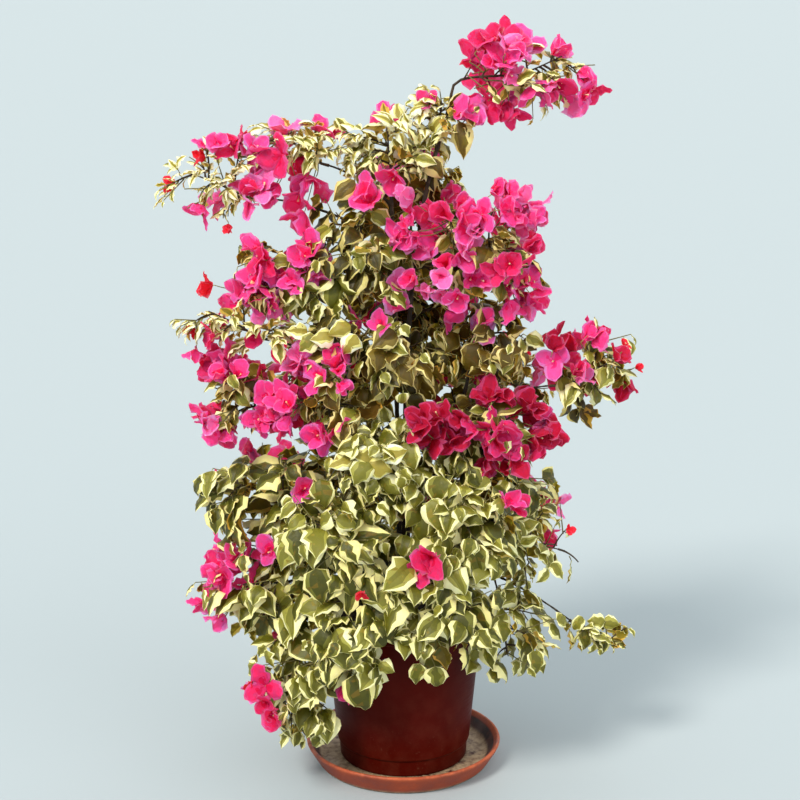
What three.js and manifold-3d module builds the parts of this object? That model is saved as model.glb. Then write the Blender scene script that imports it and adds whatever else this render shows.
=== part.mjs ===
// Bougainvillea bush in a plastic pot that stands on a clay saucer.
// Sizes are in millimetres, +Z is up, and the front of the bush looks along -Y.
// The origin is the centre of the saucer's flat underside.

import * as THREE from "three";
import { mergeVertices } from "three/addons/utils/BufferGeometryUtils.js";
import Module from "manifold-3d";

const wasm = await Module();
wasm.setup();

// Gap that touching pieces keep from each other.
const SEAT_GAP = 0.3;
const ROUND_SIDES = 24;

// Clay saucer: a flat dish with a flared wall and a rounded rim.
const SAUCER = { foot: 145, rim: 165, height: 38, wall: 6, floor: 12, lip: 3 };

// Plastic pot: a narrower foot band, a tapering wall and a turned rim.
const POT = { foot: 107, base: 112, top: 132, height: 266, wall: 3, footBand: 27, step: 3 };
const POT_RIM = { out: 5, height: 22 };
const POT_BOTTOM = SAUCER.floor + SEAT_GAP;
const POT_TOP = POT_BOTTOM + POT.height;

// Soil: fills the pot to a little under the rim, with a flat crown at the trunk.
const SOIL = { below: 26, crown: 34, mound: 4 };
const SOIL_TOP = POT_TOP - SOIL.below;

// Trunk: a short foot with a root flare, from a flat cut on the soil to its fork.
const TRUNK = { radius: 14, flare: 9, flareHeight: 16, ribs: 5, height: 62, lean: 4, sides: 15, steps: 6 };
const TRUNK_FOOT = SOIL_TOP + SEAT_GAP;
const TRUNK_TOP = TRUNK_FOOT + TRUNK.height;

// Stems that rise from the trunk's head. turn is where each stands on the head,
// in degrees from +X, tip is where it ends, and lean over 1 makes it rise first
// and arch out late.
const STEM = { ring: 8.6, sunk: 26, radius: 4.7, tipRadius: 3.1, sides: 5, steps: 8, spans: 6 };
const STEMS = [
  { name: "stem_right", turn: 350, tip: [104, -4, 668], lean: 0.8 },
  { name: "stem_back", turn: 62, tip: [12, 84, 862], lean: 0.6 },
  { name: "stem_crest", turn: 134, tip: [-20, 6, 985], lean: 1.4 },
  { name: "stem_left", turn: 206, tip: [-138, -34, 800], lean: 0.9 },
  { name: "stem_top", turn: 278, tip: [72, -14, 1112], lean: 4 },
];

// Boughs are thinner than the stem that carries them.
const BOUGH = { radius: 3.6, tipRadius: 2.8, sides: 4, steps: 4, enter: 0.72, arch: 0.14, over: 62 };

// Each mass has a stem of its own. Its twigs are slim cones that end a little past
// their last leaf, and back is how far down the stem they start, as a share of
// their length. A leaf is a blade with a keel under it, and a bloom is a cup of
// three bracts.
const TWIG = { stem: 3.4, stemTip: 2.4, stemSteps: 3, foot: 1.9, past: 1.2, sides: 3, back: 0.4 };
const LEAF = {
  perTwig: 4, larger: 1.65, first: 0.36, last: 0.96,
  width: 0.66, widest: 0.42, keel: 0.16, thick: 3, droop: 0.12,
};
const BLOOM = { perTwig: 3, first: 0.5, last: 0.97, reach: 36, depth: 24, cup: 10 };

// How foliage keeps to its space: gaps to neighbours and limbs, how far tips keep
// inside, how far leaves may reach past it, and how often a place is tried.
const SPACE = { margin: 0.6, limbGap: 3, inset: 0.3, stretch: 1.15, tries: 900, turns: 14, shrink: 0.94 };

// Foliage masses, each in its own space about a centre, with its half sizes.
// on is the stem that carries it. at is the height where it leaves that stem,
// and none means that it grows on from the stem's tip. bough gives it a bough
// of its own, and over makes that bough arch and come down from above.
const MASSES = [
  { name: "top_bloom", on: "stem_top", centre: [184, -16, 1160], half: [122, 62, 72],
    leaf: 52, leaves: 2, blooms: 7 },
  { name: "arch_leaves", on: "stem_top", at: 1030, centre: [56, -26, 1094], half: [62, 50, 48],
    leaf: 48, leaves: 4, blooms: 1 },
  { name: "crest_leaves", on: "stem_crest", centre: [-24, 4, 1044], half: [96, 78, 60],
    leaf: 52, leaves: 5, blooms: 1 },
  { name: "upper_left_near", on: "stem_crest", at: 950, bough: true,
    centre: [-158, -12, 1042], half: [112, 62, 44], leaf: 48, leaves: 5, blooms: 2 },
  { name: "upper_left_far", on: "stem_crest", at: 885, bough: true,
    centre: [-292, -26, 990], half: [100, 55, 72], leaf: 46, leaves: 1, blooms: 5 },
  { name: "mid_bloom", on: "stem_top", at: 850, centre: [112, -52, 878], half: [118, 90, 104],
    leaf: 56, leaves: 1, blooms: 8 },
  { name: "upper_column", on: "stem_crest", at: 840, centre: [-66, -36, 902], half: [80, 70, 98],
    leaf: 56, leaves: 5, blooms: 1 },
  { name: "left_upper_bloom", on: "stem_left", centre: [-194, -32, 846], half: [80, 62, 66],
    leaf: 52, leaves: 2, blooms: 4 },
  { name: "left_thin", on: "stem_left", at: 690, bough: true,
    centre: [-262, -44, 766], half: [98, 52, 48], leaf: 50, leaves: 3, blooms: 2 },
  { name: "mid_column", on: "stem_crest", at: 660, centre: [-12, -58, 735], half: [92, 74, 98],
    leaf: 58, leaves: 5, blooms: 1 },
  { name: "right_column", on: "stem_right", centre: [130, -8, 740], half: [86, 76, 78],
    leaf: 56, leaves: 5, blooms: 1 },
  { name: "left_far_bloom", on: "stem_left", at: 560, bough: true,
    centre: [-268, -50, 650], half: [68, 60, 72], leaf: 50, leaves: 1, blooms: 4 },
  { name: "left_near_bloom", on: "stem_left", at: 610, centre: [-126, -82, 658], half: [80, 70, 76],
    leaf: 54, leaves: 2, blooms: 4 },
  { name: "right_far_bloom", on: "stem_right", at: 600, bough: true,
    centre: [296, -20, 684], half: [96, 60, 76], leaf: 50, leaves: 1, blooms: 5 },
  { name: "right_near_bloom", on: "stem_right", at: 545, centre: [128, -62, 592], half: [106, 76, 76],
    leaf: 56, leaves: 2, blooms: 5 },
  { name: "centre_leaves", on: "stem_top", at: 500, centre: [-24, -96, 564], half: [104, 74, 82],
    leaf: 66, leaves: 6, blooms: 0 },
  { name: "left_skirt", on: "stem_left", at: 415, bough: true,
    centre: [-222, -26, 480], half: [114, 92, 92], leaf: 70, leaves: 5, blooms: 1 },
  { name: "left_low", on: "stem_left", at: 365, bough: true,
    centre: [-240, -62, 334], half: [112, 88, 86], leaf: 72, leaves: 5, blooms: 2 },
  { name: "front_left", on: "stem_left", at: 385, centre: [-96, -130, 440], half: [106, 88, 98],
    leaf: 74, leaves: 5, blooms: 0 },
  { name: "front_right", on: "stem_right", at: 385, centre: [84, -122, 452], half: [106, 88, 98],
    leaf: 74, leaves: 6, blooms: 1 },
  { name: "right_skirt", on: "stem_right", at: 420, bough: true,
    centre: [212, -24, 392], half: [108, 88, 98], leaf: 68, leaves: 5, blooms: 1 },
  { name: "front_low", on: "stem_top", at: 352, bough: true, over: true,
    centre: [70, -160, 316], half: [104, 76, 96], leaf: 72, leaves: 6, blooms: 0 },
  { name: "front_low_left", on: "stem_left", at: 352, bough: true, over: true,
    centre: [-76, -172, 292], half: [84, 70, 104], leaf: 72, leaves: 5, blooms: 1 },
  { name: "left_over", on: "stem_left", at: 345, bough: true, over: true,
    centre: [-172, -112, 196], half: [90, 78, 120], leaf: 72, leaves: 5, blooms: 1 },
  { name: "right_low", on: "stem_right", at: 345, bough: true, over: true,
    centre: [164, -80, 260], half: [100, 80, 84], leaf: 70, leaves: 6, blooms: 0 },
  { name: "right_spray", on: "stem_right", at: 368, bough: true,
    centre: [322, -12, 232], half: [74, 46, 52], leaf: 50, leaves: 3, blooms: 0 },
  { name: "back_top", on: "stem_back", centre: [12, 92, 938], half: [88, 62, 86],
    leaf: 56, leaves: 4, blooms: 1 },
  { name: "back_mid", on: "stem_back", at: 700, centre: [14, 124, 772], half: [102, 72, 82],
    leaf: 58, leaves: 4, blooms: 2 },
  { name: "back_left", on: "stem_back", at: 560, centre: [-138, 98, 636], half: [98, 78, 84],
    leaf: 60, leaves: 3, blooms: 2 },
  { name: "back_right", on: "stem_back", at: 530, centre: [146, 98, 628], half: [98, 78, 84],
    leaf: 60, leaves: 3, blooms: 2 },
  { name: "back_skirt_left", on: "stem_back", at: 400, bough: true,
    centre: [-142, 114, 434], half: [124, 96, 108], leaf: 72, leaves: 5, blooms: 1 },
  { name: "back_skirt_right", on: "stem_back", at: 372, bough: true,
    centre: [146, 114, 420], half: [124, 96, 108], leaf: 72, leaves: 5, blooms: 1 },
  { name: "back_low", on: "stem_back", at: 345, bough: true, over: true,
    centre: [4, 168, 268], half: [126, 78, 90], leaf: 70, leaves: 4, blooms: 0 },
];

const CLAY = new THREE.MeshStandardMaterial({ color: 0x96503a, roughness: 0.85 });
const PLASTIC = new THREE.MeshStandardMaterial({ color: 0x5a1a10, roughness: 0.4 });
const EARTH = new THREE.MeshStandardMaterial({ color: 0x2b1d14, roughness: 1 });
const BARK = new THREE.MeshStandardMaterial({ color: 0x4a3626, roughness: 0.9 });
const LEAFAGE = new THREE.MeshStandardMaterial({ color: 0x8d9352, roughness: 0.6 });
const BLOSSOM = new THREE.MeshStandardMaterial({ color: 0xe02a80, roughness: 0.6 });

const UP = new THREE.Vector3(0, 0, 1);
const GOLDEN_TURN = Math.PI * (3 - Math.sqrt(5));

const bush = new THREE.Group();

function addPiece(name, geometry, material) {
  const mesh = new THREE.Mesh(geometry, material.clone());
  mesh.name = name;
  bush.add(mesh);
}

// Same stream of numbers for the same seed, from 0 up to 1.
function makeRandom(seed) {
  let state = seed >>> 0;
  return () => {
    state = (state + 0x6d2b79f5) >>> 0;
    let mixed = Math.imul(state ^ (state >>> 15), state | 1);
    mixed = (mixed + Math.imul(mixed ^ (mixed >>> 7), mixed | 61)) ^ mixed;
    return ((mixed ^ (mixed >>> 14)) >>> 0) / 4294967296;
  };
}

// A closed mesh as a solid that can be joined and cut.
function toSolid(geometry) {
  geometry.deleteAttribute("normal");
  geometry.deleteAttribute("uv");
  const merged = mergeVertices(geometry, 1e-4);
  return new wasm.Manifold(new wasm.Mesh({
    numProp: 3,
    vertProperties: new Float32Array(merged.attributes.position.array),
    triVerts: new Uint32Array(merged.index.array),
  }));
}

// The main body of a solid as a mesh: sealed hollows are filled and scraps dropped.
function toGeometry(solid) {
  const bodies = solid.decompose();
  const main = bodies.reduce((best, body) => (body.volume() > best.volume() ? body : best));
  const mesh = main.getMesh();
  const geometry = new THREE.BufferGeometry();
  geometry.setAttribute("position", new THREE.BufferAttribute(new Float32Array(mesh.vertProperties), 3));
  geometry.setIndex(new THREE.BufferAttribute(new Uint32Array(mesh.triVerts), 1));
  return geometry;
}

// A profile of [radius, height] points turned about the upright axis.
function turned(profile) {
  const points = profile.map(([radius, height]) => new THREE.Vector2(radius, height));
  return new THREE.LatheGeometry(points, ROUND_SIDES).rotateX(Math.PI / 2);
}

// A cylinder bent along a curve, with its radius given along the way and round it.
function limb(curve, radiusAt, sides, steps) {
  const tube = new THREE.CylinderGeometry(1, 1, 1, sides, steps);
  const frames = curve.computeFrenetFrames(steps);
  const place = tube.attributes.position;
  const point = new THREE.Vector3();
  for (let i = 0; i < place.count; i += 1) {
    const ring = Math.round((place.getY(i) + 0.5) * steps);
    const along = ring / steps;
    const radius = radiusAt(along, Math.atan2(place.getZ(i), place.getX(i)));
    point.copy(curve.getPointAt(along));
    point.addScaledVector(frames.normals[ring], place.getX(i) * radius);
    point.addScaledVector(frames.binormals[ring], -place.getZ(i) * radius);
    place.setXYZ(i, point.x, point.y, point.z);
  }
  return tube;
}

function taper(from, to, grow = 0) {
  return (along) => from + (to - from) * along + grow;
}

// Saucer
function saucerGeometry() {
  const { foot, rim, height, wall, floor, lip } = SAUCER;
  return turned([
    [0, 0], [foot - lip, 0], [foot, lip / 2], [foot + lip / 2, lip],
    [rim - lip, height - 2 * lip], [rim, height - lip], [rim - lip / 3, height - lip / 3],
    [rim - lip, height], [rim - wall + 1, height], [rim - wall - lip / 2, height - lip],
    [foot - wall / 2, floor + lip], [foot - wall - lip, floor], [0, floor],
  ]);
}

// Pot
function potGeometry() {
  const { foot, base, top, height, wall, footBand, step } = POT;
  const rimFoot = height - POT_RIM.height;
  const rim = top + POT_RIM.out;
  const profile = [
    [0, 0], [foot - 2, 0], [foot, 2], [foot + 1.5, footBand], [base, footBand + step],
    [top, rimFoot - 4], [rim - 1, rimFoot], [rim, rimFoot + 2], [rim, height - 3],
    [rim - 1.5, height], [top - wall + 1, height], [top - wall, height - 2],
    [base - wall, footBand + step], [foot - wall, footBand], [foot - wall - 1, wall], [0, wall],
  ];
  return turned(profile.map(([radius, z]) => [radius, z + POT_BOTTOM]));
}

// The pot and saucer as one filled body, a little larger, which foliage keeps off.
function potSpaceGeometry() {
  const grow = 1;
  const dish = SAUCER.rim + grow;
  const rim = POT.top + POT_RIM.out + grow;
  const rimFoot = POT_TOP - POT_RIM.height;
  return turned([
    [0, -grow], [SAUCER.foot + grow, -grow], [dish, SAUCER.height - 2 * SAUCER.lip],
    [dish, SAUCER.height + grow], [POT.base + grow, SAUCER.height + grow],
    [POT.top + 3 * grow, rimFoot - 5 * grow], [rim, rimFoot - grow], [rim, POT_TOP + grow],
    [0, POT_TOP + grow],
  ]);
}

// Soil: its side follows the inside of the pot.
function soilGeometry() {
  const { foot, base, top, height, wall, footBand, step } = POT;
  const bottom = wall + SEAT_GAP;
  const level = height - SOIL.below;
  const share = (level - footBand - step) / (height - 2 - footBand - step);
  const inside = base - wall + (top - base) * share - SEAT_GAP;
  const profile = [
    [0, bottom], [foot - wall - 1 - 2 * SEAT_GAP, bottom], [foot - wall - 2 * SEAT_GAP, footBand],
    [base - wall - 2 * SEAT_GAP, footBand + step + 1], [inside - 1, level - SOIL.mound],
    [SOIL.crown, level], [0, level],
  ];
  return turned(profile.map(([radius, z]) => [radius, z + POT_BOTTOM]));
}

// Trunk: the root flare has soft ribs, which fade out above the soil.
function trunkCurve() {
  const { height, lean } = TRUNK;
  return new THREE.CatmullRomCurve3([
    new THREE.Vector3(0, 0, TRUNK_FOOT),
    new THREE.Vector3(0, 0, TRUNK_FOOT + height * 0.25),
    new THREE.Vector3(-lean * 0.3, lean * 0.2, TRUNK_FOOT + height * 0.6),
    new THREE.Vector3(-lean * 0.4, lean * 0.4, TRUNK_TOP),
  ]);
}

function trunkRadius(grow) {
  const { radius, flare, flareHeight, ribs, height } = TRUNK;
  return (along, turn) => {
    const spread = flare * Math.exp(-along * height / flareHeight);
    const head = along > 0.99 ? -2 : 0;
    return radius + spread * (1 + 0.35 * Math.cos(ribs * turn)) + head + grow;
  };
}

function trunkSolid(grow = 0) {
  return toSolid(limb(trunkCurve(), trunkRadius(grow), TRUNK.sides, TRUNK.steps));
}

// Stems
function stemCurve(stem) {
  const turn = THREE.MathUtils.degToRad(stem.turn);
  const [x, y] = [STEM.ring * Math.cos(turn), STEM.ring * Math.sin(turn)];
  const foot = new THREE.Vector3(x, y, TRUNK_TOP - STEM.sunk);
  const tip = new THREE.Vector3(...stem.tip);
  const points = [];
  for (let i = 0; i <= STEM.spans; i += 1) {
    const along = i / STEM.spans;
    const out = Math.pow(along, stem.lean);
    points.push(new THREE.Vector3(
      foot.x + (tip.x - foot.x) * out,
      foot.y + (tip.y - foot.y) * out,
      foot.z + (tip.z - foot.z) * along,
    ));
  }
  return new THREE.CatmullRomCurve3(points);
}

function stemSolid(stem, grow = 0) {
  return toSolid(limb(stem.curve, taper(STEM.radius, STEM.tipRadius, grow), STEM.sides, STEM.steps));
}

// The point of a curve at a height, found by halving.
function pointAtHeight(curve, height) {
  let low = 0;
  let high = 1;
  for (let i = 0; i < 30; i += 1) {
    const middle = (low + high) / 2;
    if (curve.getPointAt(middle).z < height) low = middle;
    else high = middle;
  }
  return curve.getPointAt(low);
}

// Boughs
function boughCurve(mass, stem) {
  const start = pointAtHeight(stem.curve, mass.at);
  const centre = new THREE.Vector3(...mass.centre);
  const toward = start.clone().sub(centre);
  if (mass.over) toward.set(toward.x * 0.35, toward.y * 0.35, mass.half[2] * 3);
  const scaled = new THREE.Vector3(...mass.half.map((half, axis) => toward.getComponent(axis) / half));
  const end = centre.addScaledVector(toward, BOUGH.enter / scaled.length());
  const bend = start.clone().lerp(end, 0.5);
  bend.z += start.distanceTo(end) * BOUGH.arch;
  if (mass.over) bend.set(end.x, end.y, Math.max(start.z, end.z) + BOUGH.over);
  return new THREE.QuadraticBezierCurve3(start, bend, end);
}

function boughSolid(curve, grow = 0) {
  return toSolid(limb(curve, taper(BOUGH.radius, BOUGH.tipRadius, grow), BOUGH.sides, BOUGH.steps));
}

// Way of a mass's own stem: on from its bough or stem, through the centre and out beyond it.
function ownStemPoints(mass) {
  const centre = new THREE.Vector3(...mass.centre);
  const points = [];
  if (mass.start) {
    points.push(mass.start.clone());
    points.push(mass.start.clone().lerp(centre, 0.5));
  } else {
    const tip = mass.carrierCurve.getPointAt(1);
    const heading = mass.carrierCurve.getTangentAt(1);
    points.push(tip.clone().addScaledVector(heading, SEAT_GAP));
    points.push(tip.clone().addScaledVector(heading, 0.25 * tip.distanceTo(centre) + 4));
  }
  points.push(centre);
  const away = centre.clone().sub(points[0]).normalize();
  const reaches = mass.half.map((half, axis) => half / Math.max(0.2, Math.abs(away.getComponent(axis))));
  const reach = Math.min(...reaches);
  points.push(centre.clone().addScaledVector(away, 0.5 * reach));
  return points;
}

// Nearest distance between two straight pieces.
function segmentGap(a, b, c, d) {
  const ab = b.clone().sub(a);
  const cd = d.clone().sub(c);
  const ca = a.clone().sub(c);
  const abab = ab.dot(ab);
  const cdcd = cd.dot(cd);
  const abcd = ab.dot(cd);
  const cdca = cd.dot(ca);
  const abca = ab.dot(ca);
  const spread = abab * cdcd - abcd * abcd;
  let s = spread > 1e-9 ? (abcd * cdca - abca * cdcd) / spread : 0;
  s = Math.min(1, Math.max(0, s));
  let t = (abcd * s + cdca) / cdcd;
  if (t < 0 || t > 1) {
    t = Math.min(1, Math.max(0, t));
    s = Math.min(1, Math.max(0, (abcd * t - abca) / abab));
  }
  return a.clone().addScaledVector(ab, s).distanceTo(c.clone().addScaledVector(cd, t));
}

// A way as straight pieces with a radius, which twigs keep clear of.
function keepClear(points, radius, owner) {
  const pieces = [];
  for (let i = 1; i < points.length; i += 1) {
    pieces.push({ from: points[i - 1], to: points[i], radius, owner });
  }
  return pieces;
}

function clearOf(obstacles, from, to, gap) {
  return obstacles.every((piece) => segmentGap(from, to, piece.from, piece.to) > piece.radius + gap);
}

// A straight piece passes over or outside the pot and the saucer.
function clearOfPot(from, to, gap) {
  const point = new THREE.Vector3();
  for (let i = 0; i <= 6; i += 1) {
    point.lerpVectors(from, to, i / 6);
    const radius = Math.hypot(point.x, point.y);
    if (radius < POT.top + POT_RIM.out + gap && point.z < POT_TOP + gap) return false;
    if (radius < SAUCER.rim + gap && point.z < SAUCER.height + gap) return false;
  }
  return true;
}

// A mass's own share of the crown: its rounded space, cut off by planes where
// it meets the spaces of its neighbours.
function inSpace(mass, point, margin, stretch = 1) {
  const [x, y, z] = mass.centre;
  const [a, b, c] = mass.half;
  const inside = ((point.x - x) / a) ** 2 + ((point.y - y) / b) ** 2 + ((point.z - z) / c) ** 2;
  if (inside > stretch * stretch) return false;
  const own = (point.x - x) ** 2 + (point.y - y) ** 2 + (point.z - z) ** 2 - mass.size ** 2;
  return MASSES.every((other) => {
    if (other === mass) return true;
    const [ox, oy, oz] = other.centre;
    const theirs = (point.x - ox) ** 2 + (point.y - oy) ** 2 + (point.z - oz) ** 2 - other.size ** 2;
    const apart = Math.hypot(x - ox, y - oy, z - oz);
    return theirs - own > 2 * margin * apart;
  });
}

// A seeded place for a twig's tip, more often near the outside of the mass.
function tipPlace(mass, random) {
  const turn = 2 * Math.PI * random();
  const rise = 2 * random() - 1;
  const flat = Math.sqrt(1 - rise * rise);
  const out = 0.3 + 0.7 * Math.sqrt(random());
  const [a, b, c] = mass.half.map((half) => Math.max(0.45 * half, half - SPACE.inset * mass.leaf));
  return new THREE.Vector3(
    mass.centre[0] + a * out * flat * Math.cos(turn),
    mass.centre[1] + b * out * flat * Math.sin(turn),
    mass.centre[2] + c * out * rise,
  );
}

// The point of the mass's own stem that a twig to this tip starts from.
function footPlace(mass, tip) {
  const count = 24;
  let nearest = 0;
  const points = mass.way.getSpacedPoints(count);
  points.forEach((point, i) => {
    if (point.distanceTo(tip) < points[nearest].distanceTo(tip)) nearest = i;
  });
  const back = TWIG.back * points[nearest].distanceTo(tip);
  const along = nearest / count - back / mass.way.getLength();
  return mass.way.getPointAt(Math.min(0.97, Math.max(0.12, along)));
}

// Twigs: seeded tips, spread through the mass, each joined to its stem.
function growTwigs(mass, random, obstacles) {
  const count = mass.leaves + mass.blooms;
  const volume = 4.19 * mass.half[0] * mass.half[1] * mass.half[2];
  const spacing = 0.62 * Math.cbrt(volume / count);
  const twigs = [];
  for (let tries = 0; tries < SPACE.tries && twigs.length < count; tries += 1) {
    const tip = tipPlace(mass, random);
    const near = spacing * (1 - tries / SPACE.tries);
    const crowded = twigs.some((twig) => twig.tip.distanceTo(tip) < near);
    if (crowded || !inSpace(mass, tip, SPACE.limbGap)) continue;
    const foot = footPlace(mass, tip);
    if (foot.distanceTo(tip) < 0.35 * mass.leaf) continue;
    if (twigs.some((twig) => segmentGap(foot, tip, twig.foot, twig.tip) < 2 * TWIG.foot)) continue;
    const past = foot.clone().lerp(tip, TWIG.past);
    if (!clearOf(obstacles, foot, past, SPACE.limbGap)) continue;
    if (!clearOfPot(foot, past, SPACE.limbGap)) continue;
    twigs.push({
      foot,
      tip,
      along: tip.clone().sub(foot).normalize(),
      outward: tip.clone().sub(new THREE.Vector3(...mass.centre)).normalize(),
    });
  }
  return twigs;
}

// A slim cone from the joint to a little past the twig's tip.
function twigSolid(twig) {
  const past = twig.foot.clone().lerp(twig.tip, TWIG.past);
  const cone = new THREE.ConeGeometry(TWIG.foot, past.distanceTo(twig.foot), TWIG.sides, 1);
  cone.applyQuaternion(new THREE.Quaternion().setFromUnitVectors(new THREE.Vector3(0, 1, 0), twig.along));
  const middle = twig.foot.clone().lerp(past, 0.5);
  return toSolid(cone.translate(middle.x, middle.y, middle.z));
}

// Unit directions across a heading: one level, one lifted.
function crossDirections(heading) {
  const across = new THREE.Vector3().crossVectors(heading, UP);
  if (across.length() < 0.1) across.set(1, 0, 0);
  across.normalize();
  return { across, lift: new THREE.Vector3().crossVectors(across, heading) };
}

// A cone's points moved to new places, told from its round part, its apex and the middle of its base.
function reshapeCone(sides, root, placeRing, placeApex, placeBase) {
  const cone = new THREE.ConeGeometry(1, 1, sides, 1);
  const place = cone.attributes.position;
  for (let i = 0; i < place.count; i += 1) {
    const [x, y, z] = [place.getX(i), place.getY(i), place.getZ(i)];
    const onAxis = Math.hypot(x, z) < 0.5;
    const point = root.clone();
    if (!onAxis) placeRing(point, x, z);
    else if (y > 0) placeApex(point);
    else placeBase(point);
    place.setXYZ(i, point.x, point.y, point.z);
  }
  return cone;
}

// A leaf hangs from its twig with its face outwards and up, and droops at the tip.
function leafGeometry(mass, twig, root, turn, size, random) {
  const { across, lift } = crossDirections(twig.along);
  const heading = twig.along.clone().multiplyScalar(0.1 + 0.6 * random());
  heading.addScaledVector(across, Math.cos(turn)).addScaledVector(lift, Math.sin(turn));
  heading.addScaledVector(twig.outward, 0.4 * random());
  heading.z -= 0.2 + 0.8 * random();
  heading.normalize();
  const face = twig.outward.clone().addScaledVector(UP, 0.5);
  const side = new THREE.Vector3().crossVectors(face, heading).normalize();
  const top = new THREE.Vector3().crossVectors(heading, side);
  const length = size * LEAF.larger * mass.leaf * (0.85 + 0.3 * random());
  return reshapeCone(3, root, (point, x, z) => {
    const keel = z > 0;
    point.addScaledVector(heading, length * (keel ? LEAF.keel : LEAF.widest));
    point.addScaledVector(side, keel ? 0 : Math.sign(x) * LEAF.width * length / 2);
    point.addScaledVector(top, keel ? -LEAF.thick : 0);
  }, (point) => {
    point.addScaledVector(heading, length).addScaledVector(top, -LEAF.droop * length);
  }, () => {});
}

// A bloom opens away from its twig, with a bract's tip at each corner of its cup.
function bloomGeometry(mass, twig, root, turn, shrink, random) {
  const { across: level, lift: raised } = crossDirections(twig.along);
  const axis = twig.along.clone().multiplyScalar(0.4 + 0.6 * random()).addScaledVector(twig.outward, 0.6);
  axis.addScaledVector(level, Math.cos(turn)).addScaledVector(raised, Math.sin(turn)).normalize();
  const { across, lift } = crossDirections(axis);
  const size = shrink * (0.9 + 0.3 * random());
  return reshapeCone(3, root, (point, x, z) => {
    const angle = Math.atan2(x, z) + turn;
    point.addScaledVector(axis, size * BLOOM.depth);
    point.addScaledVector(across, size * BLOOM.reach * Math.sin(angle));
    point.addScaledVector(lift, -size * BLOOM.reach * Math.cos(angle));
  }, () => {}, (point) => {
    point.addScaledVector(axis, size * BLOOM.cup);
  });
}

// One leaf or bloom, turned on and made smaller until it lies in the mass's space and
// clear of limbs, of other twigs and of the blades before it, or none.
function placeBlade(mass, twig, root, turn, random, make, keepOff) {
  const point = new THREE.Vector3();
  for (let tries = 0; tries < SPACE.turns; tries += 1) {
    const size = Math.pow(SPACE.shrink, tries);
    const geometry = make(mass, twig, root, turn + tries * GOLDEN_TURN, size, random);
    const place = geometry.attributes.position;
    let fits = true;
    for (let i = 0; i < place.count && fits; i += 1) {
      fits = inSpace(mass, point.fromBufferAttribute(place, i), SPACE.margin, SPACE.stretch);
    }
    if (!fits) continue;
    const solid = toSolid(geometry);
    if (keepOff.every((other) => other === twig.solid || solid.intersect(other).isEmpty())) return solid;
  }
  return null;
}

function growMass(mass, seed, obstacles, limbs) {
  const random = makeRandom(seed);
  const others = obstacles.filter((piece) => piece.owner !== mass.name);
  let body = toSolid(limb(mass.way, taper(TWIG.stem, TWIG.stemTip), TWIG.sides, TWIG.stemSteps));
  if (mass.start) body = body.subtract(mass.carrierFat);
  const twigs = growTwigs(mass, random, others);
  const keepOff = [limbs, body];
  for (const twig of twigs) {
    twig.solid = twigSolid(twig);
    keepOff.push(twig.solid);
  }
  for (const twig of twigs) body = body.add(twig.solid);
  twigs.forEach((twig, i) => {
    const bloom = i % 2 === 0 ? i / 2 < mass.blooms : (i + 1) / 2 > mass.leaves;
    const form = bloom ? BLOOM : LEAF;
    const make = bloom ? bloomGeometry : leafGeometry;
    const first = 2 * Math.PI * random();
    for (let n = 0; n < form.perTwig; n += 1) {
      const along = form.first + (form.last - form.first) * n / (form.perTwig - 1);
      const root = twig.foot.clone().lerp(twig.tip, along);
      const blade = placeBlade(mass, twig, root, first + n * GOLDEN_TURN, random, make, keepOff);
      if (!blade) continue;
      keepOff.push(blade);
      body = body.add(blade);
    }
  });
  return body;
}

// Pot, saucer, soil and trunk
addPiece("saucer", saucerGeometry(), CLAY);
addPiece("pot", potGeometry(), PLASTIC);
addPiece("soil", soilGeometry(), EARTH);
addPiece("trunk", toGeometry(trunkSolid()), BARK);

// Stems and boughs, each cut clear of what carries it
const obstacles = [];
const fatLimbs = [toSolid(potSpaceGeometry()), trunkSolid(SEAT_GAP + 1)];
const trunkFat = trunkSolid(SEAT_GAP);
for (const stem of STEMS) {
  stem.curve = stemCurve(stem);
  stem.fat = stemSolid(stem, SEAT_GAP);
  addPiece(stem.name, toGeometry(stemSolid(stem).subtract(trunkFat)), BARK);
  obstacles.push(...keepClear(stem.curve.getSpacedPoints(STEM.steps), STEM.radius, stem.name));
  fatLimbs.push(stemSolid(stem, SEAT_GAP + 0.3));
}
for (const mass of MASSES) {
  const stem = STEMS.find((candidate) => candidate.name === mass.on);
  mass.size = Math.cbrt(mass.half[0] * mass.half[1] * mass.half[2]);
  mass.carrierCurve = stem.curve;
  if (mass.bough) {
    mass.carrierCurve = boughCurve(mass, stem);
    const name = `bough_${mass.name}`;
    addPiece(name, toGeometry(boughSolid(mass.carrierCurve).subtract(stem.fat)), BARK);
    obstacles.push(...keepClear(mass.carrierCurve.getSpacedPoints(BOUGH.steps), BOUGH.radius, name));
    fatLimbs.push(boughSolid(mass.carrierCurve, SEAT_GAP + 0.3));
  } else if (mass.at) {
    mass.start = pointAtHeight(stem.curve, mass.at);
    mass.carrierFat = stem.fat;
  }
  mass.ownStem = ownStemPoints(mass);
  mass.way = new THREE.CatmullRomCurve3(mass.ownStem);
  obstacles.push(...keepClear(mass.ownStem, TWIG.stem, mass.name));
}

// Foliage masses
const limbs = fatLimbs.reduce((all, fat) => all.add(fat));
MASSES.forEach((mass, i) => {
  const material = mass.blooms > mass.leaves ? BLOSSOM : LEAFAGE;
  addPiece(mass.name, toGeometry(growMass(mass, 101 + 7 * i, obstacles, limbs)), material);
});

export default bush;
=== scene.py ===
import itertools
import math

import bmesh
import bpy
import numpy as np
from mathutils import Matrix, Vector, noise
from numpy.linalg import norm


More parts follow.
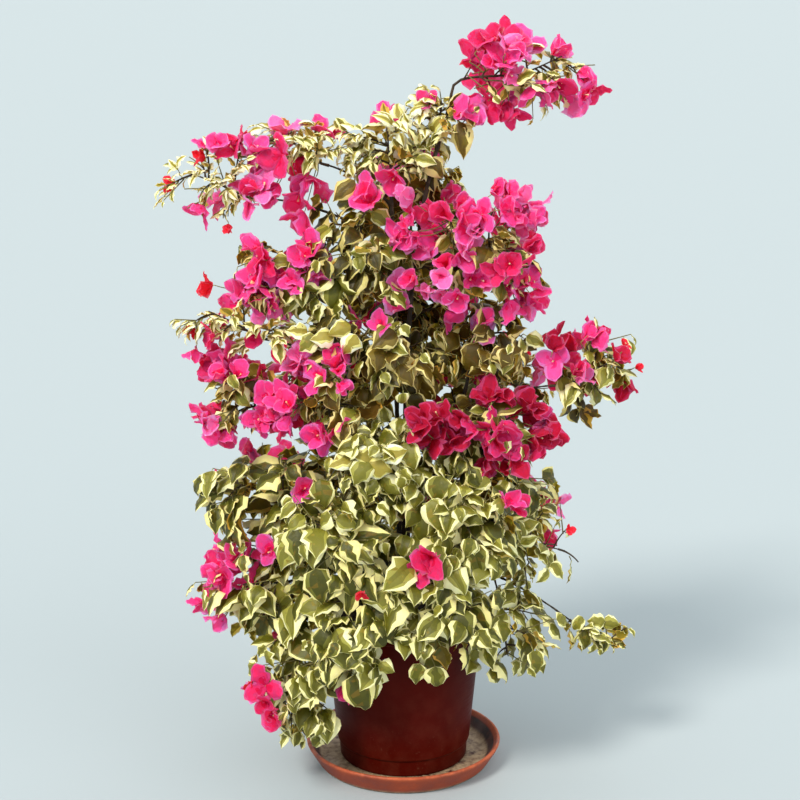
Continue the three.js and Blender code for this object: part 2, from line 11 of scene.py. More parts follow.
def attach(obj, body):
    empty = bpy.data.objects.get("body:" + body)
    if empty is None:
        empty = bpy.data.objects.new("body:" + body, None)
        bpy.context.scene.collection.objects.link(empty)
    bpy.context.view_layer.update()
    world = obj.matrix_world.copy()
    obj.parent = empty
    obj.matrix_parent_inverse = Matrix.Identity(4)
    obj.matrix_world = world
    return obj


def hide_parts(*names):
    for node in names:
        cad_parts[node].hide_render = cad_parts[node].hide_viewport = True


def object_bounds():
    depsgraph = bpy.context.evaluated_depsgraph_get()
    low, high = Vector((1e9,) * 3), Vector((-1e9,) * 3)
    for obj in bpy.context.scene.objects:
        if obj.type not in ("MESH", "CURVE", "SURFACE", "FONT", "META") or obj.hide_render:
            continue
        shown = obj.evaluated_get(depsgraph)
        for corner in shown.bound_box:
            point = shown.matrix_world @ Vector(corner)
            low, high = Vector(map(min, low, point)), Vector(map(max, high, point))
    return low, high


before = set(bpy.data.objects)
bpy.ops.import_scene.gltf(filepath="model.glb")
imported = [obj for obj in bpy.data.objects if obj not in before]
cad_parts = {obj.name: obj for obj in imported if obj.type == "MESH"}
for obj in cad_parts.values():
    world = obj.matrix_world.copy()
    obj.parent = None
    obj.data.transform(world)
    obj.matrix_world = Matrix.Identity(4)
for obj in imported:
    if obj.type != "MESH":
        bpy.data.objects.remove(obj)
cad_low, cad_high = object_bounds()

# Bougainvillea bush in a plastic pot that stands on a clay saucer.
# The growth is worked out in millimetres, as in the part's source, and meshes are in metres.
MM = 0.001
UP = np.array([0.0, 0.0, 1.0])
FULL_TURN = 2 * math.pi
GOLDEN_TURN = math.pi * (3 - math.sqrt(5))

# Sizes that the solids have.
SEAT_GAP = 0.3
SAUCER = dict(foot=145, rim=165, height=38, wall=6, floor=12, lip=3)
POT = dict(foot=107, base=112, top=132, height=266, wall=3, foot_band=27, step=3)
POT_RIM = dict(out=5, height=22)
POT_BOTTOM = SAUCER["floor"] + SEAT_GAP
POT_TOP = POT_BOTTOM + POT["height"]
SOIL = dict(below=26, crown=34, mound=4)
SOIL_TOP = POT_TOP - SOIL["below"]
TRUNK = dict(radius=14, flare=9, flare_height=16, ribs=5, height=62, lean=4)
TRUNK_FOOT = SOIL_TOP + SEAT_GAP
TRUNK_TOP = TRUNK_FOOT + TRUNK["height"]
STEM = dict(ring=8.6, sunk=26, radius=4.7, tip_radius=3.1, steps=8, spans=6)
BOUGH = dict(radius=3.6, tip_radius=2.8, steps=4, enter=0.72, arch=0.14, over=62)
TWIG = dict(stem=3.4, stem_tip=2.4, foot=1.9, tip=1.0, back=0.4, past=1.2)
SPACE = dict(limb_gap=3, inset=0.3, tries=900, ball=4.19, apart=0.62, shortest=0.35)

STEMS = {
    "stem_right": dict(turn=350, tip=[104, -4, 668], lean=0.8),
    "stem_back": dict(turn=62, tip=[12, 84, 862], lean=0.6),
    "stem_crest": dict(turn=134, tip=[-20, 6, 985], lean=1.4),
    "stem_left": dict(turn=206, tip=[-138, -34, 800], lean=0.9),
    "stem_top": dict(turn=278, tip=[72, -14, 1112], lean=4),
}

# name, stem, height on the stem (None at its tip), bough, centre, half sizes, leaf
# length, leaf twigs, blossom twigs
MASSES = [
    ("top_bloom", "top", None, "", [184, -16, 1160], [122, 62, 72], 52, 2, 7),
    ("arch_leaves", "top", 1030, "", [56, -26, 1094], [62, 50, 48], 48, 4, 1),
    ("crest_leaves", "crest", None, "", [-24, 4, 1044], [96, 78, 60], 52, 5, 1),
    ("upper_left_near", "crest", 950, "bough", [-158, -12, 1042], [112, 62, 44], 48, 5, 2),
    ("upper_left_far", "crest", 885, "bough", [-292, -26, 990], [100, 55, 72], 46, 1, 5),
    ("mid_bloom", "top", 850, "", [112, -52, 878], [118, 90, 104], 56, 1, 8),
    ("upper_column", "crest", 840, "", [-66, -36, 902], [80, 70, 98], 56, 5, 1),
    ("left_upper_bloom", "left", None, "", [-194, -32, 846], [80, 62, 66], 52, 2, 4),
    ("left_thin", "left", 690, "bough", [-262, -44, 766], [98, 52, 48], 50, 3, 2),
    ("mid_column", "crest", 660, "", [-12, -58, 735], [92, 74, 98], 58, 5, 1),
    ("right_column", "right", None, "", [130, -8, 740], [86, 76, 78], 56, 5, 1),
    ("left_far_bloom", "left", 560, "bough", [-268, -50, 650], [68, 60, 72], 50, 1, 4),
    ("left_near_bloom", "left", 610, "", [-126, -82, 658], [80, 70, 76], 54, 2, 4),
    ("right_far_bloom", "right", 600, "bough", [296, -20, 684], [96, 60, 76], 50, 1, 5),
    ("right_near_bloom", "right", 545, "", [128, -62, 592], [106, 76, 76], 56, 2, 5),
    ("centre_leaves", "top", 500, "", [-24, -96, 564], [104, 74, 82], 66, 6, 0),
    ("left_skirt", "left", 415, "bough", [-222, -26, 480], [114, 92, 92], 70, 5, 1),
    ("left_low", "left", 365, "bough", [-240, -62, 334], [112, 88, 86], 72, 5, 2),
    ("front_left", "left", 385, "", [-96, -130, 440], [106, 88, 98], 74, 5, 0),
    ("front_right", "right", 385, "", [84, -122, 452], [106, 88, 98], 74, 6, 1),
    ("right_skirt", "right", 420, "bough", [212, -24, 392], [108, 88, 98], 68, 5, 1),
    ("front_low", "top", 352, "over", [70, -160, 316], [104, 76, 96], 72, 6, 0),
    ("front_low_left", "left", 352, "over", [-76, -172, 292], [84, 70, 104], 72, 5, 1),
    ("left_over", "left", 345, "over", [-172, -112, 196], [90, 78, 120], 72, 5, 1),
    ("right_low", "right", 345, "over", [164, -80, 260], [100, 80, 84], 70, 6, 0),
    ("right_spray", "right", 368, "bough", [322, -12, 232], [74, 46, 52], 50, 3, 0),
    ("back_top", "back", None, "", [12, 92, 938], [88, 62, 86], 56, 4, 1),
    ("back_mid", "back", 700, "", [14, 124, 772], [102, 72, 82], 58, 4, 2),
    ("back_left", "back", 560, "", [-138, 98, 636], [98, 78, 84], 60, 3, 2),
    ("back_right", "back", 530, "", [146, 98, 628], [98, 78, 84], 60, 3, 2),
    ("back_skirt_left", "back", 400, "bough", [-142, 114, 434], [124, 96, 108], 72, 5, 1),
    ("back_skirt_right", "back", 372, "bough", [146, 114, 420], [124, 96, 108], 72, 5, 1),
    ("back_low", "back", 345, "over", [4, 168, 268], [126, 78, 90], 70, 4, 0),
]

# How leaves grow in a part of the crown: their size beside the solid's, how wide they are, how
# far they point along their twig, how much they hang and look up, how many side twigs there are,
# how far past their mass's space they may grow, how open they are, how far the green reaches,
# and the tones of the sprays.
HABITS = {
    # The spray and crest habits deal out mostly the cream tone, whose lightness is partly painted
    # light.
    "spray": dict(size=0.76, width=0.46, forward=0.9, hang=0.25, upward=1.6, full=0.8,
                  stretch=1.16, open=-1, green=0.5, tones=["cream", "cream", "young", "cream"]),
    "crest": dict(size=0.86, width=0.56, forward=0.4, hang=0.5, upward=1.5, full=0.85,
                  stretch=1.16, open=-0.3, green=0.54,
                  tones=["cream", "young", "cream", "middle"]),
    # The column and inner habits deal out the brown and shaded tones, painted shade for the inner
    # crown.
    "column": dict(size=1.04, width=0.68, forward=0.1, hang=1.15, upward=0.4, full=0.8,
                   stretch=1.24, open=-0.08, green=0.77,
                   tones=["brown", "shaded", "brown", "deep", "brown", "middle"]),
    "inner": dict(size=1.0, width=0.7, forward=0.1, hang=1.1, upward=0.4, full=0.8,
                  stretch=1.24, open=0.0, green=0.8,
                  tones=["brown", "shaded", "brown", "shaded", "shaded"]),
    "skirt": dict(size=0.96, width=0.7, forward=0.1, hang=0.9, upward=0.7, full=1.0,
                  stretch=1.16, open=-0.05, green=0.75,
                  tones=["deep", "middle", "deep", "middle", "young"]),
    "trailing": dict(size=0.92, width=0.68, forward=0.1, hang=1.05, upward=0.6, full=0.8,
                     stretch=1.14, open=-0.06, green=0.72,
                     tones=["middle", "deep", "middle", "young"]),
    "airy": dict(size=0.74, width=0.62, forward=0.1, hang=0.8, upward=0.7, full=0.6,
                 stretch=0.92, open=-0.2, green=0.73, tones=["middle", "deep", "young"]),
}
# The masses of each habit; the others are of the skirt's.
HABIT_MASSES = {
    "spray": ["upper_left_near", "upper_left_far", "left_thin"],
    "crest": ["top_bloom", "arch_leaves", "crest_leaves"],
    "column": ["mid_bloom", "upper_column", "left_upper_bloom", "left_far_bloom", "left_near_bloom",
               "right_far_bloom", "right_near_bloom", "back_top", "back_mid"],
    "inner": ["mid_column", "right_column"],
    "trailing": ["left_low", "front_low", "front_low_left", "left_over", "right_low", "back_low"],
    "airy": ["right_skirt", "right_spray"],
}

# Outlines along a blade: how far along, and how wide as a share of its widest.
LEAF_FORM = dict(
    stations=[0, 0.06, 0.18, 0.32, 0.47, 0.62, 0.76, 0.89, 1],
    outline=[0, 0.64, 0.93, 1.0, 0.94, 0.76, 0.47, 0.16, 0],
    thick=0.4, waves=3.4, slant=0.12, rag=0.16, crumple=0.022, crease=True,
)
BRACT_FORM = dict(
    stations=[0, 0.1, 0.25, 0.42, 0.6, 0.77, 0.91, 1],
    outline=[0, 0.5, 0.84, 1.0, 0.98, 0.78, 0.42, 0],
    thick=0.3, waves=3.6, slant=0.03, rag=0.13, crumple=0.05, crease=False,
)
# How each blade is bent, as its least value and its range.
LEAF_BENDS = dict(
    rise=(0, 0.5), bend=(0.7, 1.2), fold=(0, 0.4), curl=(-0.75, 0.6), wave=(0.035, 0.075),
    phase=(0, FULL_TURN), twist=(-0.35, 0.7),
)
BRACT_BENDS = dict(
    width=(0.72, 0.26), rise=(0, 0.3), bend=(-0.4, 1.2), fold=(0.05, 0.5), curl=(-0.5, 0.6),
    wave=(0.05, 0.07), phase=(0, FULL_TURN), twist=(-0.3, 0.6),
)
LEAF = dict(first=0.36, last=0.96, per_twig=4, stalk=0.16, spacing=13, crowding=0.33,
            broader=0.18, tries=7, least=0.58, range=0.56, shrink=0.95, stray=1.6,
            reach=0.92, droop=0.25, middle=0.4, half_width=0.32, stalk_radii=(0.8, 0.6))
SHOOT = dict(larger=1.65, least=0.6, range=0.45, shortest=20, shrink=0.85, hang=0.35,
             foot=1.2, tip=0.7, turn=math.pi * 0.85, taper=0.38, young=0.85)
BLOOM = dict(first=0.36, last=0.97, branches=4, bract=41, spacing=15, bracts=3, tries=7,
             least=0.85, range=0.25, heart=0.4, reach=0.8, second=0.85,
             stalk_radii=(0.7, 0.7))
# Kinds of stalk: a woody twig, a young twig and a green stalk.
WOODY, YOUNG, GREEN = range(3)
BLOOM_STALK = dict(foot=1.1, tip=0.8, least=22, range=26, shortest=8, shrink=0.8, ahead=25)
THIN_STALK = dict(foot=1.0, tip=0.7)
FLORET = dict(tube=0.28, throat=0.36, radius=0.7, mouth=1.7, spread=0.4, share=0.3)
REACH = dict(over=-18, past_box=7)
# What a leaf or a bloom looks away from: its own mass's middle, and the crown's, deeper in y.
FACING = dict(mass=0.55, crown=0.8, deeper=1.2)
# Rings of a limb where leaves once stood.
RINGS = dict(apart=34, sharp=8)
# How far a shoot to a place of its own may leave its mass's space.
FREE = dict(stretch=2.2, over=-70)
# How far apart the small gaps between the leaves lie, and the share of twigs past the solid's.
GAP_SIZE = 36
EXTRA_TWIGS = 0.7
THIN_BLOSSOM = ["upper_left_far", "left_thin", "left_skirt", "left_low", "left_over",
                "right_far_bloom"]

# Single blooms on thin stalks of their own, mass by mass: place, size and tone.
LONE_BLOOMS = {
    "top_bloom": [
        ([240, -20, 1198], 1.0, "hot"), ([281, -16, 1157], 0.9, "hot"),
        ([189, -16, 1208], 1.0, "magenta"), ([236, -26, 1128], 1.05, "hot"),
        ([214, -40, 1138], 0.95, "magenta"),
    ],
    "arch_leaves": [([33, -40, 1122], 0.8, "hot")],
    "crest_leaves": [([-17, -60, 1000], 1.0, "hot")],
    "upper_left_near": [
        ([-119, -10, 1078], 1.05, "hot"), ([-190, -10, 1078], 1.0, "light"),
        ([-166, -40, 960], 1.0, "hot"),
    ],
    "upper_left_far": [
        ([-318, -26, 1031], 0.6, "red"), ([-367, -26, 987], 0.55, "red"),
        ([-324, -30, 944], 0.95, "hot"), ([-277, -26, 921], 0.4, "red"),
    ],
    "left_upper_bloom": [([-315, -30, 828], 0.8, "red")],
    "left_thin": [
        ([-337, -44, 758], 0.5, "red"), ([-336, -44, 720], 0.6, "hot"),
        ([-237, -60, 750], 0.85, "deep"),
    ],
    "mid_column": [([-37, -130, 788], 0.8, "hot"), ([-100, -110, 736], 1.0, "hot")],
    "right_far_bloom": [
        ([310, -20, 753], 0.8, "hot"), ([356, -20, 731], 0.4, "red"), ([378, -20, 691], 0.4, "red"),
    ],
    "left_skirt": [([-159, -112, 513], 0.95, "magenta")],
    "front_right": [
        ([36, -232, 440], 1.2, "deep"), ([28, -230, 418], 0.9, "deep"),
        ([168, -146, 507], 0.9, "hot"), ([182, -138, 494], 0.7, "deep"),
    ],
    "front_left": [([-66, -228, 381], 0.45, "red")],
    "right_skirt": [([271, -60, 428], 0.35, "red")],
    "left_low": [([-310, -70, 316], 0.9, "hot"), ([-340, -60, 302], 0.7, "hot")],
    "left_over": [
        ([-224, -190, 209], 0.95, "deep"), ([-244, -174, 203], 0.55, "red"),
        ([-206, -198, 164], 0.95, "deep"), ([-222, -190, 178], 0.8, "deep"),
    ],
}

# Close clumps of blossom that hang out of a mass: centre, reach each way, blooms and tone.
BLOOM_CLUMPS = {
    "mid_bloom": [
        ([16, -84, 940], [28, 20, 44], 7, None), ([52, -110, 860], [42, 20, 38], 7, None),
        ([100, -108, 928], [30, 20, 34], 6, None),
    ],
    "right_near_bloom": [([50, -120, 612], [40, 20, 48], 9, "crimson")],
    "left_upper_bloom": [([-208, -66, 836], [38, 18, 34], 6, "hot")],
    "upper_left_near": [([-182, -38, 964], [38, 18, 34], 5, "hot")],
    "upper_left_far": [([-256, -34, 1028], [30, 18, 34], 6, "magenta")],
    "left_low": [([-278, -76, 362], [30, 20, 42], 10, "hot")],
    "back_top": [([10, 146, 955], [46, 20, 44], 8, None)],
    "back_mid": [([40, 186, 800], [50, 20, 40], 9, None)],
    "back_left": [([-160, 168, 655], [44, 22, 42], 9, None)],
    "back_right": [([150, 168, 650], [40, 22, 40], 8, "deep")],
    "back_skirt_left": [([-190, 190, 470], [30, 18, 30], 4, "hot")],
    "back_skirt_right": [([206, 176, 400], [26, 18, 34], 4, None)],
}
# The share of its blossom that a mass keeps: how it grows across, back and up, and at the middle.
BLOOM_SHARES = {
    "upper_left_far": [0.9, 0, 0.3, 0.5], "top_bloom": [-0.55, 0, -0.1, 0.58],
    "left_upper_bloom": [0.3, 0, 0, 0.8], "left_near_bloom": [-0.1, 0, -0.1, 0.82],
    "mid_bloom": [0.6, 0, 0, 0.5], "right_near_bloom": [-0.1, 0, 0, 0.56],
    "right_far_bloom": [-0.5, 0, 0, 0.7], "right_skirt": [-1, 0, -1, 0.75],
}
# The same for leaves.
LEAF_SHARES = {
    "top_bloom": [1.2, 0, 0, 0.6], "left_skirt": [0.2, 0, -0.6, 0.85],
    "right_skirt": [-0.6, 0, 0, 0.72], "left_low": [0.3, 0, 0.2, 0.85],
    "right_low": [-0.1, 0, 0.5, 0.58], "front_low": [-0.2, 0, 0.6, 0.72],
    "back_skirt_left": [0, 0.2, -0.3, 0.85], "front_low_left": [-0.45, 0, 0, 0.8],
}
# The tone of most of the blossom in these masses, and its share.
MAIN_TONES = {"right_near_bloom": ("crimson", 0.6), "right_far_bloom": ("crimson", 0.35)}

# The tips of the leafy shoots that close the gaps beside the stems.
EXTRA_SHOOTS = {
    "left_thin": [
        [-152, -62, 774], [-268, -72, 786], [-232, -82, 772], [-198, -88, 754], [-300, -66, 780],
    ],
    "mid_column": [[-130, -66, 764], [-108, -72, 792], [-94, -84, 762], [-118, -60, 742]],
    "upper_left_far": [[-352, -40, 1014], [-320, -44, 1010], [-298, -48, 994], [-276, -46, 984]],
    "left_upper_bloom": [[-134, -58, 806]],
    "left_near_bloom": [[-120, -80, 738]],
    "upper_column": [[-104, -60, 852], [-98, -64, 818], [-20, -96, 838]],
    "front_left": [[-30, -196, 380], [-50, -190, 350], [-70, -180, 400], [-160, -120, 350]],
    "front_low": [[-8, -200, 372], [20, -196, 400]],
    "front_low_left": [[-32, -194, 410]],
    "left_over": [[-172, -124, 336]],
    "left_low": [[-182, -114, 306]],
    "right_low": [[168, -76, 304], [188, -66, 326]],
    "right_skirt": [[154, -76, 338]],
    "back_mid": [[-20, 160, 700], [40, 166, 690], [0, 176, 650]],
    "back_left": [[-60, 150, 590], [-40, 150, 540]],
    "back_right": [[60, 150, 580], [40, 154, 530]],
    "back_skirt_left": [[-30, 176, 470], [-24, 190, 420]],
    "back_skirt_right": [[30, 180, 460], [20, 186, 400]],
    "back_low": [[0, 190, 370]],
}

# The leaves that stand out at the front: middle, heading, length and tone.
LONE_LEAVES = {
    "arch_leaves": [([90, -46, 1060], [0.1, -0.1, -1], 64, "brown")],
    "crest_leaves": [
        ([54, -44, 1016], [0.7, -0.3, -0.7], 50, "brown"),
        ([-92, -62, 985], [-0.7, -0.3, -0.6], 50, "brown"),
    ],
    "mid_column": [
        ([-100, -122, 776], [-0.9, -0.3, -0.3], 44, "cream"),
        ([-126, -116, 762], [-1, -0.2, -0.1], 42, "cream"),
        ([-150, -106, 750], [-0.8, -0.2, -0.6], 40, "young"),
        ([-84, -128, 754], [-0.6, -0.3, -0.8], 42, "cream"),
        ([-166, -96, 768], [-1, -0.2, 0.1], 36, "cream"),
    ],
    "front_left": [
        ([-96, -150, 572], [-0.9, -0.3, -0.3], 48, "cream"),
        ([-62, -158, 584], [-0.6, -0.3, 0.2], 46, "cream"),
        ([-36, -164, 566], [0.9, -0.3, -0.2], 50, "cream"),
        ([-66, -168, 558], [-0.5, -0.3, -0.7], 48, "young"),
        ([-14, -160, 588], [0.8, -0.2, 0.3], 46, "cream"),
        ([-126, -168, 524], [0.2, -0.3, -1], 54, "middle"),
        ([-167, -188, 446], [0.1, -0.3, -1], 64, "deep"),
        ([-132, -208, 386], [0.2, -0.2, -1], 64, "deep"),
    ],
    "front_right": [
        ([-9, -222, 407], [-0.7, -0.3, -0.6], 66, "young"),
        ([54, -164, 530], [-0.2, -0.4, -0.9], 50, "middle"),
        ([50, -190, 496], [0.3, -0.3, -1], 58, "young"),
        ([84, -206, 393], [0.5, -0.3, -0.8], 58, "young"),
    ],
    "front_low_left": [
        ([-92, -220, 274], [0.1, -0.3, -1], 58, "young"),
        ([-15, -208, 310], [0.1, -0.2, -1], 66, "deep"),
    ],
    "left_over": [([-68, -208, 206], [0.3, -0.2, -1], 72, "deep")],
    "right_spray": [
        ([306, -24, 226], [-0.1, -0.2, -1], 44, "middle"),
        ([332, -20, 214], [0.1, -0.2, -1], 46, "deep"),
        ([322, -24, 256], [-0.8, -0.3, 0.1], 36, "young"),
        ([348, -20, 250], [0.9, -0.2, -0.1], 34, "young"),
        ([290, -28, 252], [-0.5, -0.3, -0.7], 34, "young"),
    ],
    "front_low": [
        ([93, -206, 317], [0.3, -0.2, -1], 64, "deep"),
        ([52, -196, 226], [0.1, -0.1, -1], 46, "middle"),
        ([22, -194, 232], [-0.2, -0.1, -1], 42, "middle"),
    ],
}

# Colours of the leaves: deep green, grey green, cream, underside green and its cream. The underside
# colours are warmed: part the underside's own colour, part painted warm shade and glow.
LEAF_TONES = {
    "deep": [(66, 66, 9), (104, 102, 32), (252, 236, 146), (98, 80, 18), (216, 156, 54)],
    "middle": [(86, 84, 14), (126, 122, 46), (254, 242, 160), (110, 92, 24), (224, 168, 66)],
    "young": [(114, 110, 34), (154, 148, 64), (255, 247, 174), (134, 118, 38), (232, 184, 84)],
    # The cream tone's light greens are part the leaves' own wide cream and part painted light on
    # the lit crest and sprays.
    "cream": [(152, 136, 52), (218, 208, 126), (255, 253, 204), (156, 130, 50), (246, 210, 116)],
    # Brown is part the colour of browner leaves and part painted shade: a darker, warmer copy for
    # the inner columns.
    "brown": [(84, 66, 10), (118, 98, 34), (244, 220, 134), (96, 68, 12), (208, 148, 50)],
    # Shaded is painted shade: a darker copy of the leaf colours for the inner columns.
    "shaded": [(56, 48, 9), (80, 70, 23), (214, 194, 110), (72, 52, 13), (176, 122, 39)],
}
LEAF_PARTS = ("green", "grey_green", "cream", "under_green", "under_cream")
# Colours of the bracts: heart, face and edge.
BRACT_TONES = {
    "hot": [(246, 28, 100), (251, 62, 134), (253, 98, 164)],
    "magenta": [(248, 42, 122), (252, 80, 154), (254, 116, 182)],
    "light": [(252, 70, 144), (253, 104, 168), (255, 134, 192)],
    "deep": [(208, 18, 72), (220, 42, 98), (230, 68, 124)],
    "red": [(226, 22, 38), (238, 36, 54), (244, 56, 80)],
    "crimson": [(156, 7, 36), (178, 25, 60), (204, 56, 100)],
}
BRACT_PARTS = ("heart", "face", "edge")
# Shine, how much light goes through, how far each colour goes, and over what scale.
LEAF_GLOW = (0.3, 0.3, (1, 0.8, 0.2), 0.004)
BRACT_GLOW = (0.08, 0.6, (1, 0.1, 0.09), 0.005)

CAMERA = dict(place=(-0.0058, -3.0, 1.4334), pitch=75.03, lens=85.75, sensor=36)
# Lights: place, spread in degrees, power and colour.
SUNS = {
    "key": ((-1.9, -2.5, 3.2), 16, 2.8, (1, 0.96, 0.87)),
    "fill": ((2.4, -2.6, 1.6), 60, 1.0, (1, 0.97, 0.92)),
    "back": ((0.8, 2.4, 2.6), 60, 0.7, (1, 0.98, 0.94)),
}
SKY = dict(colour=(0.87, 0.985, 1, 1), power=0.85)
FLOOR = dict(radius=60, colour=(168, 176, 181))
# Where the random numbers of each kind start, and how far apart those of two masses lie.
SEEDS = dict(solid=101, solid_step=7, mass=9001, mass_step=13, leaves=401, blooms=501, florets=601)


def placed(name, data):
    """A new object of the scene."""
    made = bpy.data.objects.new(name, data)
    bpy.context.scene.collection.objects.link(made)
    return made


# Camera
camera_data = bpy.data.cameras.new("camera")
camera_data.sensor_width = CAMERA["sensor"]
camera_data.lens = CAMERA["lens"]
camera = placed("camera", camera_data)
camera.location = CAMERA["place"]
camera.rotation_euler = (math.radians(CAMERA["pitch"]), 0, 0)
bpy.context.scene.camera = camera
bpy.context.scene.view_settings.view_transform = "Standard"


# Shader helpers
def linear(red, green, blue):
    """A colour as a screen shows it, from 0 to 255, as the linear colour of a shader."""
    parts = [part / 255 for part in (red, green, blue)]
    return [p / 12.92 if p <= 0.04045 else ((p + 0.055) / 1.055) ** 2.4 for p in parts] + [1]


def add_node(tree, kind, inputs=(), **settings):
    """A node with its settings, and with values or links on its inputs."""
    made = tree.nodes.new(kind)
    for key, value in settings.items():
        setattr(made, key, value)
    for key, value in dict(inputs).items():
        if isinstance(value, bpy.types.NodeSocket):
            tree.links.new(value, made.inputs[key])
        else:
            made.inputs[key].default_value = value
    return made


def new_group(name, inputs, outputs):
    """An empty shader group with its named inputs and outputs."""
    group = bpy.data.node_groups.new(name, "ShaderNodeTree")
    for label, kind in inputs:
        group.interface.new_socket(label, in_out="INPUT", socket_type=kind)
    for label, kind in outputs:
        group.interface.new_socket(label, in_out="OUTPUT", socket_type=kind)
    return group, group.nodes.new("NodeGroupInput"), group.nodes.new("NodeGroupOutput")


def mottle_group():
    """Soft patches: a noise that is spread between two thresholds."""
    sockets = [("Vector", "NodeSocketVector")]
    sockets += [(label, "NodeSocketFloat") for label in ("Scale", "Detail", "Low", "High")]
    group, given, result = new_group("mottle", sockets, [("Mask", "NodeSocketFloat")])
    patches = add_node(group, "ShaderNodeTexNoise", {
        "Vector": given.outputs["Vector"], "Scale": given.outputs["Scale"],
        "Detail": given.outputs["Detail"], "Roughness": 0.6})
    spread = add_node(group, "ShaderNodeMapRange", {
        "Value": patches.outputs["Fac"], "From Min": given.outputs["Low"],
        "From Max": given.outputs["High"]})
    group.links.new(spread.outputs["Result"], result.inputs["Mask"])
    return group


def turned_group():
    """How far a point is from the upright axis, and how high it is, in metres."""
    group, given, result = new_group(
        "turned_place", [("Vector", "NodeSocketVector")],
        [("Radius", "NodeSocketFloat"), ("Height", "NodeSocketFloat")])
    parts = add_node(group, "ShaderNodeSeparateXYZ", {"Vector": given.outputs["Vector"]}).outputs
    flat = add_node(group, "ShaderNodeCombineXYZ", {"X": parts["X"], "Y": parts["Y"]}).outputs
    radius = add_node(group, "ShaderNodeVectorMath", {0: flat["Vector"]}, operation="LENGTH")
    group.links.new(radius.outputs["Value"], result.inputs["Radius"])
    group.links.new(parts["Z"], result.inputs["Height"])
    return group


MOTTLE = mottle_group()
TURNED = turned_group()


class Finish:
    """A material that is built up from a Principled shader on Object coordinates."""

    def __init__(self, name, colour, roughness, **plain):
        self.material = bpy.data.materials.new(name)
        self.material.use_nodes = True
        self.tree = self.material.node_tree
        self.shader = self.tree.nodes["Principled BSDF"]
        self.shader.inputs["Base Color"].default_value = colour
        self.shader.inputs["Roughness"].default_value = roughness
        for label, value in plain.items():
            self.shader.inputs[label.replace("_", " ")].default_value = value
        self.place = self.add("ShaderNodeTexCoord").outputs["Object"]

    def add(self, kind, inputs=(), **settings):
        return add_node(self.tree, kind, inputs, **settings)

    def mottle(self, scale, detail, low, high, vector=None):
        """The mask of soft patches at this scale."""
        made = self.add("ShaderNodeGroup", node_tree=MOTTLE)
        self.tree.links.new(vector or self.place, made.inputs["Vector"])
        for label, value in (("Scale", scale), ("Detail", detail), ("Low", low), ("High", high)):
            made.inputs[label].default_value = value
        return made.outputs["Mask"]

    def stretched(self, scale):
        """Object coordinates stretched by different scales along the axes."""
        made = self.add("ShaderNodeMapping", {"Vector": self.place, "Scale": scale})
        return made.outputs["Vector"]

    def turned(self):
        """Radius and height of the point on a turned piece."""
        made = self.add("ShaderNodeGroup", {"Vector": self.place}, node_tree=TURNED)
        return made.outputs["Radius"], made.outputs["Height"]

    def band(self, value, low, high, smooth=True):
        """A mask that goes from 0 at low to 1 at high."""
        kind = "SMOOTHSTEP" if smooth else "LINEAR"
        made = self.add("ShaderNodeMapRange", {"Value": value, "From Min": low, "From Max": high},
                        interpolation_type=kind)
        return made.outputs["Result"]

    def times(self, first, second):
        made = self.add("ShaderNodeMath", {0: first, 1: second}, operation="MULTIPLY")
        return made.outputs["Value"]

    def mix(self, mask, first, second):
        """One colour over another by a mask."""
        made = self.add("ShaderNodeMix", data_type="RGBA")
        for label, value in (("Factor_Float", mask), ("A_Color", first), ("B_Color", second)):
            socket = next(s for s in made.inputs if s.identifier == label)
            if isinstance(value, bpy.types.NodeSocket):
                self.tree.links.new(value, socket)
            else:
                socket.default_value = value
        return next(s for s in made.outputs if s.identifier == "Result_Color")

    def feed(self, label, value):
        self.tree.links.new(value, self.shader.inputs[label])

    def bump(self, height, strength, distance, normal=None):
        """Relief from a height, on top of an earlier relief."""
        given = {"Height": height, "Strength": strength, "Distance": distance}
        if normal:
            given["Normal"] = normal
        return self.add("ShaderNodeBump", given).outputs["Normal"]


# Finishes of the pot, the saucer, the soil and the bark
def clay_finish():
    """Terracotta: a lighter orange rim, part wear and part painted highlight; a dark inside, part
    wet clay and part painted shade; dried lime on the floor.
    """
    top, ground, foot = SAUCER["height"] * MM, SAUCER["floor"] * MM, SAUCER["foot"] * MM
    clay = Finish("clay", linear(150, 66, 34), 0.8)
    radius, height = clay.turned()
    cloud = clay.mottle(22, 4, 0.35, 0.7)
    colour = clay.mix(cloud, linear(122, 42, 18), linear(158, 64, 31))
    # The lighter rim is part wear and part a painted highlight on the rim's top.
    rim = clay.times(clay.band(height, top - 0.009, top - 0.0005), clay.mottle(70, 3, 0.3, 0.6))
    colour = clay.mix(rim, colour, linear(182, 86, 46))
    # The walls lean outwards: this is the radius less the lean, larger outside than inside.
    leaning = clay.add("ShaderNodeMath", {0: height, 1: -0.65, 2: radius}, operation="MULTIPLY_ADD")
    upright = clay.band(leaning.outputs["Value"], foot - 0.0045, foot - 0.0075)
    # The dark inner wall is part wet clay and part painted shade in the recess under the pot.
    inner = clay.times(clay.band(height, top - 0.0055, top - 0.0085), upright)
    damp_and_shade = clay.mix(clay.mottle(34, 5, 0.4, 0.65), linear(46, 16, 13), linear(88, 38, 26))
    colour = clay.mix(inner, colour, damp_and_shade)
    floor = clay.times(clay.band(height, ground + 0.009, ground + 0.0015),
                       clay.band(radius, foot + 0.005, foot - 0.002))
    lime = clay.mix(clay.mottle(90, 6, 0.4, 0.66), linear(168, 142, 112), linear(112, 84, 62))
    colour = clay.mix(floor, colour, lime)
    stain = clay.times(floor, clay.mottle(28, 4, 0.6, 0.66))
    colour = clay.mix(stain, colour, linear(70, 26, 18))
    clay.feed("Base Color", colour)
    clay.feed("Roughness", clay.band(cloud, -1.6, 1.5, smooth=False))
    relief = clay.bump(clay.mottle(420, 4, 0.2, 0.8), 0.35, 0.0008)
    clay.feed("Normal", clay.bump(clay.mottle(60, 3, 0.2, 0.8), 0.25, 0.0015, relief))
    return clay.material


